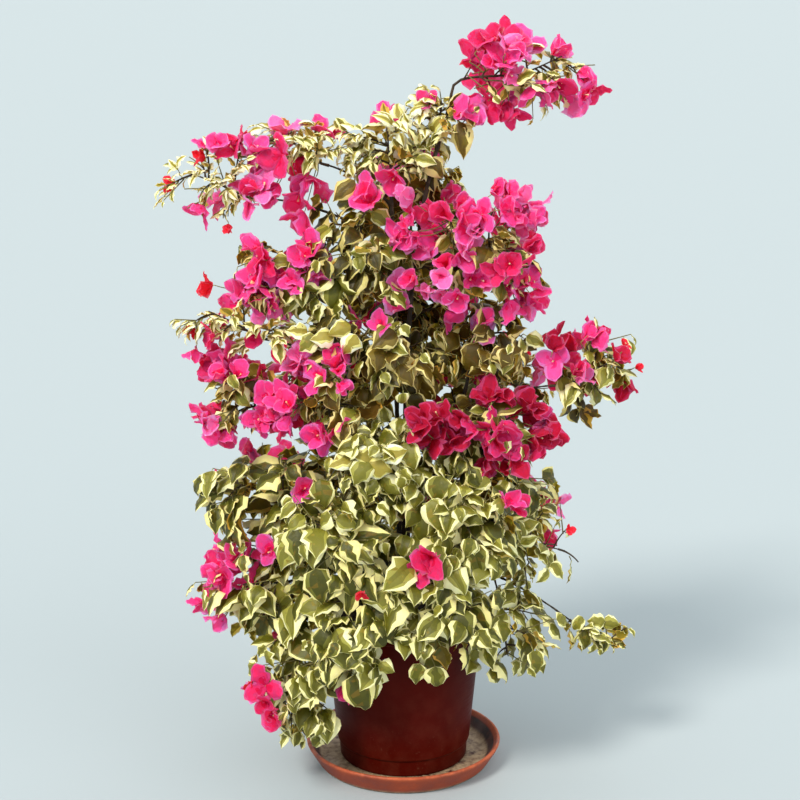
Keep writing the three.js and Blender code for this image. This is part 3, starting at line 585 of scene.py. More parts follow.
def plastic_finish():
    """Moulded plastic of the pot: dark red, with dust and fine scuffs round it."""
    plastic = Finish("pot_plastic", linear(92, 22, 12), 0.38, Specular_IOR_Level=0.06)
    height = plastic.turned()[1]
    cloud = plastic.mottle(9, 3, 0.3, 0.75)
    colour = plastic.mix(cloud, linear(66, 7, 1), linear(80, 11, 4))
    dust = plastic.times(plastic.mottle(40, 6, 0.42, 0.8), plastic.band(height, 0.3, 0.02))
    colour = plastic.mix(plastic.times(dust, 0.16), colour, linear(128, 70, 52))
    splash = plastic.times(plastic.mottle(150, 2, 0.66, 0.72), plastic.band(height, 0.14, 0.03))
    colour = plastic.mix(plastic.times(splash, 0.15), colour, linear(140, 96, 76))
    plastic.feed("Base Color", colour)
    scuff = plastic.mottle(30, 5, 0.3, 0.8, plastic.stretched((1, 1, 12)))
    plastic.feed("Roughness", plastic.band(scuff, -1.9, 3.2, smooth=False))
    relief = plastic.bump(scuff, 0.06, 0.0006)
    plastic.feed("Normal", plastic.bump(plastic.mottle(500, 2, 0.2, 0.8), 0.08, 0.0003, relief))
    return plastic.material


def soil_finish():
    """Dark peaty soil with paler crumbs."""
    soil = Finish("soil", linear(44, 30, 20), 0.95)
    crumbs = soil.mottle(160, 5, 0.42, 0.64)
    colour = soil.mix(crumbs, linear(30, 20, 13), linear(74, 54, 38))
    colour = soil.mix(soil.mottle(300, 1, 0.68, 0.72), colour, linear(140, 124, 100))
    soil.feed("Base Color", colour)
    relief = soil.bump(crumbs, 0.8, 0.003)
    soil.feed("Normal", soil.bump(soil.mottle(700, 3, 0.2, 0.8), 0.5, 0.001, relief))
    return soil.material


def bark_finish(name, dark, pale, fissures):
    """Bark with fissures that run along it and paler, lichen-grey patches."""
    bark = Finish(name, dark, 0.85)
    lines = bark.mottle(fissures, 5, 0.35, 0.65, bark.stretched((1, 1, 0.22)))
    colour = bark.mix(lines, dark, pale)
    patches = bark.mottle(45, 3, 0.58, 0.72)
    colour = bark.mix(bark.times(patches, 0.5), colour, linear(122, 112, 92))
    bark.feed("Base Color", colour)
    relief = bark.bump(lines, 0.7, 0.0012)
    bark.feed("Normal", bark.bump(bark.mottle(520, 3, 0.2, 0.8), 0.4, 0.0004, relief))
    return bark.material


def blade_finish(name, colour, roughness, puckers, glow):
    """A leaf or bract of one plain colour that light shines through, with fine puckers."""
    shine, weight, radius, scale = glow
    blade = Finish(name, linear(*colour), roughness, Specular_IOR_Level=shine,
                   Subsurface_Weight=weight, Subsurface_Radius=radius, Subsurface_Scale=scale)
    blade.feed("Normal", blade.bump(blade.mottle(puckers, 3, 0.2, 0.8), 0.5, 0.0012))
    return blade.material


# Random numbers and ways, as in the part's source
def make_random(seed):
    """Same stream of numbers for the same seed, from 0 up to 1."""
    state = seed & 0xFFFFFFFF

    def draw():
        nonlocal state
        state = (state + 0x6D2B79F5) & 0xFFFFFFFF
        mixed = ((state ^ (state >> 15)) * (state | 1)) & 0xFFFFFFFF
        mixed ^= (mixed + ((mixed ^ (mixed >> 7)) * (mixed | 61) & 0xFFFFFFFF)) & 0xFFFFFFFF
        return (mixed ^ (mixed >> 14)) / 4294967296

    return draw


class Way:
    """A smooth way that is read by the share of its own length."""

    def __init__(self, point_at):
        self.point_at = point_at
        self.ticks = np.linspace(0, 1, 201)
        steps = np.diff([point_at(tick) for tick in self.ticks], axis=0)
        self.marks = np.concatenate([[0], np.cumsum(norm(steps, axis=1))])
        self.length = self.marks[-1]

    def at(self, share):
        return self.point_at(np.interp(share * self.length, self.marks, self.ticks))

    def spaced(self, count):
        return np.array([self.at(i / count) for i in range(count + 1)])

    def heading_at_end(self):
        return unit(self.point_at(1.0) - self.point_at(0.9999))


def unit(vector):
    return vector / norm(vector)


def smooth_way(points):
    """The way through the points, as three-dimensional centripetal splines."""
    points = [np.array(point, float) for point in points]
    last = len(points) - 1

    def point_at(tick):
        place = last * tick
        i = min(int(place), last - 1)
        weight = place - i
        p1, p2 = points[i], points[i + 1]
        p0 = points[i - 1] if i > 0 else 2 * p1 - p2
        p3 = points[i + 2] if i + 2 <= last else 2 * p2 - p1
        d0, d1, d2 = [np.sum((b - a) ** 2) ** 0.25 for a, b in ((p0, p1), (p1, p2), (p2, p3))]
        leave = ((p1 - p0) / d0 - (p2 - p0) / (d0 + d1) + (p2 - p1) / d1) * d1
        enter = ((p2 - p1) / d1 - (p3 - p1) / (d1 + d2) + (p3 - p2) / d2) * d1
        bend = 3 * (p2 - p1) - 2 * leave - enter
        twist = 2 * (p1 - p2) + leave + enter
        return p1 + leave * weight + bend * weight ** 2 + twist * weight ** 3

    return Way(point_at)


def arched_way(start, bend, end):
    return Way(lambda t: (1 - t) ** 2 * start + 2 * t * (1 - t) * bend + t * t * end)


def stem_way(stem):
    turn = math.radians(stem["turn"])
    ring = STEM["ring"]
    foot = np.array([ring * math.cos(turn), ring * math.sin(turn), TRUNK_TOP - STEM["sunk"]])
    tip = np.array(stem["tip"], float)
    points = []
    for i in range(STEM["spans"] + 1):
        along = i / STEM["spans"]
        shares = np.array([along ** stem["lean"]] * 2 + [along])
        points.append(foot + (tip - foot) * shares)
    return smooth_way(points)


def point_at_height(way, height):
    low, high = 0.0, 1.0
    for _ in range(30):
        middle = (low + high) / 2
        if way.at(middle)[2] < height:
            low = middle
        else:
            high = middle
    return way.at(low)


def bough_way(mass, stem):
    """From its stem to where it enters its mass, arched, or over and down from above."""
    start = point_at_height(stem["way"], mass["at"])
    toward = start - mass["centre"]
    if mass["bough"] == "over":
        toward = np.array([toward[0] * 0.35, toward[1] * 0.35, mass["half"][2] * 3])
    end = mass["centre"] + toward * BOUGH["enter"] / norm(toward / mass["half"])
    bend = (start + end) / 2 + UP * norm(end - start) * BOUGH["arch"]
    if mass["bough"] == "over":
        bend = np.array([end[0], end[1], max(start[2], end[2]) + BOUGH["over"]])
    return arched_way(start, bend, end)


def own_stem_points(mass, carrier):
    """A mass's own stem: on from its bough or stem, through the centre and out beyond it."""
    centre = mass["centre"]
    if mass["start"] is not None:
        points = [mass["start"], (mass["start"] + centre) / 2]
    else:
        tip, heading = carrier.at(1.0), carrier.heading_at_end()
        lead = 0.25 * norm(tip - centre) + 4
        points = [tip + heading * SEAT_GAP, tip + heading * lead]
    away = unit(centre - points[0])
    reach = np.min(mass["half"] / np.maximum(0.2, np.abs(away)))
    return points + [centre, centre + away * 0.5 * reach]


# Keeping clear
class Segments:
    """Straight pieces with a radius, each with the name of the limb that it belongs to."""

    def __init__(self):
        self.start, self.end, self.radius, self.owner = [], [], [], []

    def add(self, points, radius, owner):
        for a, b in zip(points[:-1], points[1:]):
            self.start.append(a)
            self.end.append(b)
            self.radius.append(radius)
            self.owner.append(owner)

    def without(self, owner):
        """Arrays of all the pieces but the owner's."""
        keep = [i for i, name in enumerate(self.owner) if name != owner]
        lists = (self.start, self.end, self.radius)
        return tuple(np.array([values[i] for i in keep]) for values in lists)


def segment_gaps(a, b, starts, ends):
    """Nearest distances between one straight piece and many."""
    ab, cd, ca = b - a, ends - starts, a - starts
    abab, cdcd = ab @ ab, np.sum(cd * cd, axis=1)
    abcd, cdca, abca = cd @ ab, np.sum(cd * ca, axis=1), ca @ ab
    spread = abab * cdcd - abcd * abcd
    safe = np.where(spread > 1e-9, spread, 1)
    s = np.clip(np.where(spread > 1e-9, (abcd * cdca - abca * cdcd) / safe, 0), 0, 1)
    t = (abcd * s + cdca) / cdcd
    held = np.clip(t, 0, 1)
    s = np.where(held != t, np.clip((abcd * held - abca) / abab, 0, 1), s)
    near = a + ab * s[:, None] - (starts + cd * held[:, None])
    return norm(near, axis=1)


def clear_of(pieces, a, b, gap):
    starts, ends, radii = pieces
    return bool((segment_gaps(a, b, starts, ends) > radii + gap).all())


def clear_of_pot(a, b, gap):
    """A straight piece passes over or outside the pot and the saucer."""
    points = a + (b - a) * np.linspace(0, 1, 7)[:, None]
    radius, height = np.hypot(points[:, 0], points[:, 1]), points[:, 2]
    pot = (radius < POT["top"] + POT_RIM["out"] + gap) & (height < POT_TOP + gap)
    dish = (radius < SAUCER["rim"] + gap) & (height < SAUCER["height"] + gap)
    return not (pot | dish).any()


def in_space(mass, points, margin, stretch=1.0):
    """All the points lie in the mass's rounded space and on its side of its neighbours."""
    points = np.atleast_2d(points)
    if (np.sum(((points - mass["centre"]) / mass["half"]) ** 2, axis=1) > stretch ** 2).any():
        return False
    squares = np.sum((points[:, None] - CENTRES) ** 2, axis=2) - SIZES ** 2
    own = squares[:, mass["index"]][:, None]
    apart = norm(CENTRES - mass["centre"], axis=1)
    inside = squares - own > 2 * margin * apart
    inside[:, mass["index"]] = True
    return bool(inside.all())


# Main twigs, each the same as its solid
def tip_place(mass, random):
    turn = FULL_TURN * random()
    rise = 2 * random() - 1
    flat = math.sqrt(1 - rise * rise)
    out = 0.3 + 0.7 * math.sqrt(random())
    radii = np.maximum(0.45 * mass["half"], mass["half"] - SPACE["inset"] * mass["leaf"])
    away = np.array([flat * math.cos(turn), flat * math.sin(turn), rise])
    return mass["centre"] + radii * out * away


def foot_place(mass, tip):
    gaps = norm(mass["spaced"] - tip, axis=1)
    nearest = int(np.argmin(gaps))
    along = nearest / (len(gaps) - 1) - TWIG["back"] * gaps[nearest] / mass["way"].length
    return mass["way"].at(min(0.97, max(0.12, along)))


def grow_twigs(mass, random, limbs, count, twigs):
    """The twigs that are there already and new ones, up to this count."""
    spacing = SPACE["apart"] * (SPACE["ball"] * np.prod(mass["half"]) / count) ** (1 / 3)
    twigs = list(twigs)
    for attempt in range(SPACE["tries"]):
        if len(twigs) == count:
            break
        tip = tip_place(mass, random)
        near = spacing * (1 - attempt / SPACE["tries"])
        crowded = any(norm(twig["tip"] - tip) < near for twig in twigs)
        if crowded or not in_space(mass, tip, SPACE["limb_gap"]):
            continue
        foot = foot_place(mass, tip)
        if norm(tip - foot) < SPACE["shortest"] * mass["leaf"]:
            continue
        if twigs:
            feet, tips = np.array([t["foot"] for t in twigs]), np.array([t["tip"] for t in twigs])
            if (segment_gaps(foot, tip, feet, tips) < 2 * TWIG["foot"]).any():
                continue
        past, gap = foot + (tip - foot) * TWIG["past"], SPACE["limb_gap"]
        if not clear_of(limbs, foot, past, gap) or not clear_of_pot(foot, past, gap):
            continue
        outward = unit(tip - mass["centre"])
        twigs.append(dict(foot=foot, tip=tip, along=unit(tip - foot), outward=outward))
    return twigs


# Finer twigs, leaves and blooms
def cross_directions(heading):
    """Unit directions across a heading: one level, one lifted."""
    across = np.cross(heading, UP)
    if norm(across) < 0.1:
        across = np.array([1.0, 0, 0])
    across = unit(across)
    return across, np.cross(across, heading)


def sideways(heading, turn):
    """The unit direction square to a heading, at this turn about it."""
    across, lift = cross_directions(heading)
    return across * math.cos(turn) + lift * math.sin(turn)


def leaf_heading(along, facing, turn, hang, forward, random):
    """A leaf leaves its twig to one side and forward, leans outwards and hangs."""
    across, lift = cross_directions(along)
    heading = along * (forward + 0.5 * random()) + across * math.cos(turn) + lift * math.sin(turn)
    heading = heading + facing * (0.2 + 0.5 * random())
    heading[2] -= hang * (0.7 + 0.8 * random())
    return unit(heading)


def bloom_axis(along, facing, turn, random):
    """A bloom opens away from its twig."""
    axis = along * (0.3 + 0.5 * random()) + facing * 0.7
    return unit(axis + sideways(along, turn) * (0.6 + 0.4 * random()))


class Growth:
    """What grows in one part of the crown: its stalks, its leaves and its blooms."""

    def __init__(self):
        self.stalks, self.leaves, self.blooms, self.masses = [], [], [], []


class Crowd:
    """Places that are taken, kept by the cell that they lie in."""

    def __init__(self, cell):
        self.cell, self.cells = cell, {}

    def key(self, point):
        return tuple(int(c) for c in np.floor(point / self.cell))

    def near(self, point, gap):
        x, y, z = self.key(point)
        around = [(x + i, y + j, z + k) for i in (-1, 0, 1) for j in (-1, 0, 1) for k in (-1, 0, 1)]
        return any(((point - other) ** 2).sum() < gap * gap
                   for cell in around for other in self.cells.get(cell, ()))

    def take(self, point):
        self.cells.setdefault(self.key(point), []).append(point)


leaf_crowd, bloom_crowd = Crowd(24), Crowd(24)


def crown_facing(point, outward):
    """The side that a leaf shows: away from the crown's middle and from its own mass's."""
    away = unit(np.array([point[0], point[1] * FACING["deeper"] - 1, 0.0]))
    return unit(outward * FACING["mass"] + away * FACING["crown"])


def point_on(twig, share):
    """The point at this share of a twig's length."""
    return twig["foot"] + (twig["tip"] - twig["foot"]) * share


def habit_of(name):
    """The habit that a mass is listed under, or else the skirt's."""
    named = [habit for habit, members in HABIT_MASSES.items() if name in members]
    return HABITS[named[0] if named else "skirt"]


def bears_bloom(mass, i):
    """Twigs bear blossom and leaves by turns, until one of the two is used up."""
    return i / 2 < mass["blooms"] if i % 2 == 0 else (i + 1) / 2 > mass["leaves"]


spray_numbers = itertools.count(1)


class Grower:
    """Grows one mass from its own random numbers, and adds what it grows to its zone's."""

    def __init__(self, mass, growth):
        self.mass, self.growth, self.spray = mass, growth, 0
        self.habit = habit_of(mass["name"])
        self.stretch, self.over = self.habit["stretch"], REACH["over"]
        self.others = limbs.without(mass["name"])
        self.random = make_random(SEEDS["mass"] + SEEDS["mass_step"] * mass["index"])
        solid_random = make_random(SEEDS["solid"] + SEEDS["solid_step"] * mass["index"])
        self.count = mass["leaves"] + mass["blooms"]
        twigs = grow_twigs(mass, solid_random, self.others, self.count, [])
        wanted = round(self.count * (1 + EXTRA_TWIGS))
        self.twigs = grow_twigs(mass, self.random, self.others, wanted, twigs)

    def grow(self):
        """Its own stem, its twigs with what they bear, and what stands out from it."""
        name = self.mass["name"]
        for row in LONE_LEAVES.get(name, ()):
            self.grow_lone_leaf(*row)
        self.growth.stalks.append(
            limb_stalk(self.mass["way"], TWIG["stem"] * 0.75, TWIG["stem_tip"] * 0.4, 0.12, 14))
        for i, twig in enumerate(self.twigs):
            self.spray = next(spray_numbers)
            self.add_bent_stalk(twig["foot"], twig["tip"], TWIG, WOODY, 0.5, 6)
            if bears_bloom(self.mass, i % self.count):
                self.grow_bloom_twig(twig)
            else:
                self.grow_leaf_twig(twig)
        for row in LONE_BLOOMS.get(name, ()):
            self.grow_lone_bloom(*row)
        for row in BLOOM_CLUMPS.get(name, ()):
            self.grow_bloom_clump(*row)
        self.stretch, self.over = FREE["stretch"], FREE["over"]
        for tip in EXTRA_SHOOTS.get(name, ()):
            self.grow_extra_shoot(tip)

    def add_stalk(self, points, radii, kind):
        """A stalk of its kind along these points."""
        self.growth.stalks.append((np.array(points), np.array(radii), kind))

    def add_bent_stalk(self, start, end, sizes, kind, sag, steps=4, bow=0.12):
        """A slim stalk that bows a little on its way."""
        random = self.random
        shares = np.linspace(0, 1, steps + 1)
        aside = np.array([random() - 0.5, random() - 0.5, sag]) * norm(end - start)
        points = start + (end - start) * shares[:, None]
        points = points + aside * (4 * shares * (1 - shares) * bow)[:, None]
        self.add_stalk(points, sizes["foot"] + (sizes["tip"] - sizes["foot"]) * shares, kind)

    def within_reach(self, points):
        """All the points lie near the mass's own space and inside the whole plant's box."""
        low = np.array(cad_low) / MM - REACH["past_box"]
        high = np.array(cad_high) / MM + REACH["past_box"]
        points = np.atleast_2d(points)
        if (points < low).any() or (points > high).any():
            return False
        return in_space(self.mass, points, self.over, self.stretch)

    def drops(self, shares, point):
        """Whether the mass leaves a place bare, by the share that it keeps there."""
        if not shares:
            return False
        place = (point - self.mass["centre"]) / self.mass["half"]
        return self.random() > shares[3] + np.dot(shares[:3], place)

    def nearest_root(self, place, first, last):
        """The nearest point on any of the twigs, between these shares of their length."""
        shares = np.linspace(first, last, 8)[:, None]
        near = np.concatenate([point_on(twig, shares) for twig in self.twigs])
        return near[np.argmin(norm(near - place, axis=1))]

    def place_leaf(self, point, along, outward, turn, size, young=False, needed=False):
        """One leaf, turned on and made smaller until it lies in the mass's space."""
        facing, habit, random = crown_facing(point, outward), self.habit, self.random
        for attempt in range(LEAF["tries"]):
            heading = leaf_heading(along, facing, turn + attempt * GOLDEN_TURN, habit["hang"],
                                   habit["forward"], random)
            length = size * self.mass["leaf"] * habit["size"]
            length = length * (LEAF["least"] + LEAF["range"] * random()) * LEAF["shrink"] ** attempt
            root = point + heading * LEAF["stalk"] * length
            face = facing * (0.7 + 0.5 * random()) + UP * habit["upward"] * (0.6 + 0.8 * random())
            stray = [random() - 0.5, random() - 0.5, random() - 0.5]
            side = unit(np.cross(heading, face + np.array(stray) * LEAF["stray"]))
            top = np.cross(side, heading)
            tip = root + heading * length * LEAF["reach"] - top * length * LEAF["droop"]
            middle = root + heading * length * LEAF["middle"]
            reach = side * length * LEAF["half_width"]
            left, right = middle + reach, middle - reach
            if not self.within_reach(np.array([tip, left, right])):
                continue
            if self.drops(LEAF_SHARES.get(self.mass["name"]), middle):
                return False
            crowded = leaf_crowd.near(middle, LEAF["crowding"] * length)
            if not needed and (crowded or noise.noise(Vector(middle / GAP_SIZE)) < habit["open"]):
                continue
            if not clear_of_pot(root, tip, 2) or not clear_of_pot(left, right, 2):
                continue
            if not clear_of(self.others, root, tip, 1):
                continue
            leaf_crowd.take(middle)
            self.add_stalk([point, root + heading], LEAF["stalk_radii"], GREEN)
            self.add_leaf(root, heading, side, top, length, "young" if young else None)
            return True
        return False

    def add_leaf(self, root, heading, side, top, length, tone):
        """A leaf, of the tone of its spray if it has none of its own."""
        self.growth.leaves.append(dict(root=root, heading=heading, side=side, top=top, tone=tone,
                                       length=length, spray=self.spray, habit=self.habit))

    def place_bloom(self, point, along, outward, turn, size):
        """One bloom on its own short stalk, kept in the mass's space."""
        facing, random, name = crown_facing(point, outward), self.random, self.mass["name"]
        for attempt in range(BLOOM["tries"]):
            axis = bloom_axis(along, facing, turn + attempt * GOLDEN_TURN, random)
            bract = BLOOM["bract"] * size * (BLOOM["least"] + BLOOM["range"] * random())
            root = point + axis * (5 + 8 * random())
            reach = root + axis * bract * BLOOM["reach"]
            if bloom_crowd.near(root + axis * bract * BLOOM["heart"], BLOOM["spacing"] * size):
                continue
            if not self.within_reach(reach) or not clear_of_pot(root, reach, 20):
                continue
            if self.drops(BLOOM_SHARES.get(name), reach):
                return
            tone, share = MAIN_TONES.get(name, (None, 0))
            if tone and random() >= share:
                tone = None
            self.add_bloom(point, root, axis, bract, tone)
            return

    def add_bloom(self, point, root, axis, bract, tone):
        """A bloom and its stalk, of the tone of its spray if it has none of its own."""
        bloom_crowd.take(root + axis * bract * BLOOM["heart"])
        self.add_stalk([point, root + axis], BLOOM["stalk_radii"], GREEN)
        self.growth.blooms.append(dict(root=root, axis=axis, bract=bract, spray=self.spray,
                                       tone=tone))

    def grow_leaf_twig(self, twig):
        """Finer twigs where the solid has its leaves, each with leaves turn about to its tip."""
        along, outward, random = twig["along"], twig["outward"], self.random
        length = norm(twig["tip"] - twig["foot"])
        first = FULL_TURN * random()
        count = max(2, round(length * 0.75 / (1.1 * LEAF["spacing"])))
        for n in range(count):
            point, turn = point_on(twig, 0.22 + 0.78 * n / count), first + 2.1 + n * GOLDEN_TURN
            self.place_leaf(point, along, outward, turn, 1.0)
        for n in range(2):
            self.place_leaf(twig["tip"], along, outward, first + n * math.pi, 0.8,
                            young=n == 0, needed=True)
        for n in range(LEAF["per_twig"]):
            if random() > self.habit["full"]:
                continue
            share = LEAF["first"] + (LEAF["last"] - LEAF["first"]) * n / (LEAF["per_twig"] - 1)
            root = point_on(twig, share)
            heading = leaf_heading(along, outward, first + n * GOLDEN_TURN, SHOOT["hang"],
                                   self.habit["forward"], random)
            reach = SHOOT["larger"] * self.mass["leaf"]
            reach *= SHOOT["least"] + SHOOT["range"] * random()
            while reach > SHOOT["shortest"] and not self.within_reach(root + heading * reach):
                reach *= SHOOT["shrink"]
            end = root + heading * reach
            if reach > SHOOT["shortest"] and clear_of_pot(root, end, 6):
                self.grow_shoot(root, end, outward)

    def grow_shoot(self, root, end, outward, whole=False):
        """A finer twig as far as it has leaves, which are smaller and younger towards its tip."""
        reach = norm(end - root)
        heading = (end - root) / reach
        turn = FULL_TURN * self.random()
        count = max(2, round(reach / LEAF["spacing"]))
        last = 1 if whole else 0
        for n in range(count):
            share = (n + 0.8) / count
            point = root + (end - root) * share
            size = 1.0 - SHOOT["taper"] * share * share
            if self.place_leaf(point, heading, outward, turn + n * SHOOT["turn"], size,
                               young=share > SHOOT["young"]):
                last = max(last, share)
        if last:
            end = root + (end - root) * last
            radii = [SHOOT["foot"], (SHOOT["foot"] + SHOOT["tip"]) / 2, SHOOT["tip"]]
            self.add_stalk([root, (root + end) / 2, end], radii, YOUNG)

    def grow_bloom_twig(self, twig):
        """Blossom round the end of a twig, with a few small leaves lower down."""
        along, outward, random, mass = twig["along"], twig["outward"], self.random, self.mass
        first = FULL_TURN * random()
        few = mass["blooms"] < mass["leaves"]
        for n in range(5):
            self.place_leaf(point_on(twig, 0.2 + 0.16 * n), along, outward, first + n * 2.3, 0.8,
                            young=n > 1)
        branches = 1 if few else 2 if mass["name"] in THIN_BLOSSOM else BLOOM["branches"]
        for n in range(branches):
            root = point_on(twig, BLOOM["last"] - (BLOOM["last"] - BLOOM["first"]) * n / branches)
            heading = bloom_axis(along, outward, first + n * GOLDEN_TURN, random)
            reach = BLOOM_STALK["least"] + BLOOM_STALK["range"] * random()
            while reach > BLOOM_STALK["shortest"]:
                if self.within_reach(root + heading * (reach + BLOOM_STALK["ahead"])):
                    break
                reach *= BLOOM_STALK["shrink"]
            end = root + heading * reach
            self.add_bent_stalk(root, end, BLOOM_STALK, YOUNG, 0.2)
            self.place_bloom(end, heading, outward, first, 1.0)
            if not few and random() < BLOOM["second"]:
                middle = root + heading * reach * 0.5
                self.place_bloom(middle, heading, outward, first + 2.5 + n, 0.92)
        self.place_bloom(twig["tip"], along, outward, first, 0.95)

    def grow_lone_bloom(self, place, size, tone):
        """A bloom at a place of its own, on a thin stalk from the nearest twig."""
        place = np.array(place, float)
        root = self.nearest_root(place, 0.3, 1)
        outward = unit(place - self.mass["centre"])
        axis = unit(unit(place - root) + crown_facing(place, outward) * 0.5)
        bract = BLOOM["bract"] * size
        foot = place - axis * bract * 0.45
        self.add_bent_stalk(root, foot, THIN_STALK, YOUNG, -0.6, 6, 0.15)
        self.add_bloom(foot, foot + axis * 2, axis, bract, tone)

    def grow_bloom_clump(self, centre, half, count, tone):
        """Blooms close together round one place, each on a thin stalk of its own."""
        random = self.random
        made = 0
        for _ in range(14 * count):
            if made == count:
                break
            place = centre + np.array(half) * (2 * np.array([random(), random(), random()]) - 1)
            if not bloom_crowd.near(place, 0.85 * BLOOM["spacing"]):
                self.grow_lone_bloom(place, 0.8 + 0.3 * random(), tone)
                made += 1

    def grow_extra_shoot(self, end):
        """A leafy shoot to a place of its own, from the nearest twig."""
        end = np.array(end, float)
        root = self.nearest_root(end, 0.2, 0.9)
        outward = unit(end - self.mass["centre"])
        self.grow_shoot(root, end, outward, whole=True)
        for turn in (0.6, 2.6, 4.6):
            self.place_leaf(end, unit(end - root), outward, turn, 0.9, needed=True)

    def grow_lone_leaf(self, middle, heading, length, tone):
        """A leaf that stands out, at a place of its own, from the nearest twig."""
        middle, heading = np.array(middle, float), unit(np.array(heading, float))
        root = middle - heading * length * 0.45
        foot = self.nearest_root(root, 0.2, 0.95)
        side = unit(np.cross(heading, np.array([0, -1, 0.35])))
        self.add_bent_stalk(foot, root + heading, THIN_STALK, YOUNG, 0.6, 4, 0.2)
        self.add_leaf(root, heading, side, np.cross(side, heading), length, tone)
        for share in (0.15, 0.4, 0.65):
            leaf_crowd.take(root + heading * length * share)


# Blades: every leaf and bract is one closed thin blade, bent in its own way
class Blade:
    """A flat closed blade: rows along it, and strips from its middle line out to its rim."""

    def __init__(self, rows, strips):
        bm = bmesh.new()
        bmesh.ops.create_grid(bm, x_segments=2 * strips, y_segments=rows, size=1)
        for end in (-1, 1):
            row = [v for v in bm.verts if abs(v.co.y - end) < 1e-3]
            bmesh.ops.pointmerge(bm, verts=row, merge_co=(0, end, 0))
        made = bmesh.ops.duplicate(bm, geom=bm.verts[:] + bm.edges[:] + bm.faces[:])["geom"]
        under = [p for p in made if isinstance(p, bmesh.types.BMFace)]
        bmesh.ops.reverse_faces(bm, faces=under)
        for vert in [p for p in made if isinstance(p, bmesh.types.BMVert)]:
            if not vert.is_boundary:
                vert.co.z = -1
        if strips > 2:
            self.thin_out(bm, [p for p in made if isinstance(p, bmesh.types.BMEdge)], 1 / strips)
        bmesh.ops.remove_doubles(bm, verts=bm.verts[:], dist=1e-4)
        bm.verts.index_update()
        self.rows, self.strips = rows, strips
        self.across = np.array([v.co.x for v in bm.verts])
        self.row = np.array([round((v.co.y + 1) / 2 * rows) for v in bm.verts])
        self.layer = np.array([-v.co.z for v in bm.verts])
        self.side = (self.across > 0).astype(int)
        self.level = np.array([round(abs(v.co.x) * strips) for v in bm.verts])
        self.rim = (self.level == strips) | (self.row % rows == 0)
        self.middle = self.level == 0
        self.faces = [[v.index for v in face.verts] for face in bm.faces]
        self.under = np.array([min(v.co.z for v in f.verts) < -0.5 for f in bm.faces])
        self.strip = np.array([max(self.level[v] for v in face) - 1 for face in self.faces])
        self.face_row = np.array([min(self.row[v] for v in face) for face in self.faces])
        bm.free()

    @staticmethod
    def thin_out(bm, edges, first):
        """Takes the lines beside the middle out of the underside, which needs fewer faces."""
        lines = []
        for edge in edges:
            beside = all(abs(abs(v.co.x) - first) < 1e-3 or abs(v.co.y) > 0.999
                         for v in edge.verts)
            if beside and abs(sum(v.co.x for v in edge.verts)) > 0.5 * first:
                lines.append(edge)
        bmesh.ops.dissolve_edges(bm, edges=lines, use_verts=True)


def stack(records, key):
    return np.array([record[key] for record in records], float)


def bent_line(bend, rise, place, steps=32):
    """How far a blade's middle line has run and dropped at each place, and its slope there."""
    ticks = np.linspace(0, 1, steps + 1)
    slope = bend[:, None] * ticks ** 1.5 - rise[:, None]
    middle = (slope[:, 1:] + slope[:, :-1]) / 2
    start = np.zeros((len(bend), 1))
    run = np.hstack([start, np.cumsum(np.cos(middle), axis=1)]) / steps
    drop = np.hstack([start, np.cumsum(np.sin(middle), axis=1)]) / steps
    low = np.minimum((place * steps).astype(int), steps - 1)
    part = place * steps - low
    return [np.take_along_axis(line, low, 1) * (1 - part)
            + np.take_along_axis(line, low + 1, 1) * part for line in (run, drop, slope)]


def shape_blades(blade, form, records, chance):
    """The places of all the blades' points, bent, folded and waved as each one's values say."""
    stations = np.array(form["stations"])
    spread = stack(records, "shares")[:, blade.row, blade.side, blade.level]
    base = stations[blade.row]
    place = base + form["slant"] * spread * 4 * base * (1 - base)
    run, drop, slope = bent_line(stack(records, "bend"), stack(records, "rise"), place)
    values = ("length", "width", "phase", "fold", "curl", "wave", "twist")
    length, width, phase, fold, curl, wave, twist = [stack(records, key)[:, None] for key in values]
    outline = np.interp(place, stations, form["outline"])
    rag = chance.random((len(records), blade.rows + 1, 2))[:, blade.row, blade.side] - 0.5
    half = outline * width * length / 2 * (1 + 2 * form["rag"] * rag)
    ripple = np.sin(FULL_TURN * form["waves"] * place + phase + blade.side * 2.4)
    lift = half * (fold * spread + curl * spread ** 3)
    lift = lift + wave * length * ripple * spread ** 2 * outline
    crumple = chance.random((len(records), blade.rows + 1, 2, blade.strips + 1))
    crumple = crumple[:, blade.row, blade.side, blade.level] - 0.5
    lift = lift + crumple * 2 * form["crumple"] * length * outline
    lift = lift - blade.layer * form["thick"]
    aside = np.sign(blade.across) * spread * half
    turn = twist * place
    across = aside * np.cos(turn) - lift * np.sin(turn)
    lift = aside * np.sin(turn) + lift * np.cos(turn)
    vectors = ("root", "heading", "side", "top")
    root, heading, side, top = [stack(records, key)[:, None] for key in vectors]
    up = heading * np.sin(slope)[..., None] + top * np.cos(slope)[..., None]
    return (root + heading * (run * length)[..., None] - top * (drop * length)[..., None]
            + side * across[..., None] + up * lift[..., None])


def leaf_shares(rows, green, random):
    """How far the deep green and the grey green reach, row by row on both sides."""
    reach = [[green + 0.08 - 0.42 * random() ** 3, 0.45 + 0.35 * random()] for _ in range(2)]
    shares = []
    for _ in range(rows + 1):
        row = []
        for outer, inner in reach:
            outer += 0.16 * (random() - 0.5) - (0.2 if random() < 0.14 else 0)
            outer = min(0.94, max(0.22, outer))
            row.append([0, outer * min(0.9, max(0.2, inner + 0.5 * (random() - 0.5))), outer, 1])
        shares.append(row)
    return shares


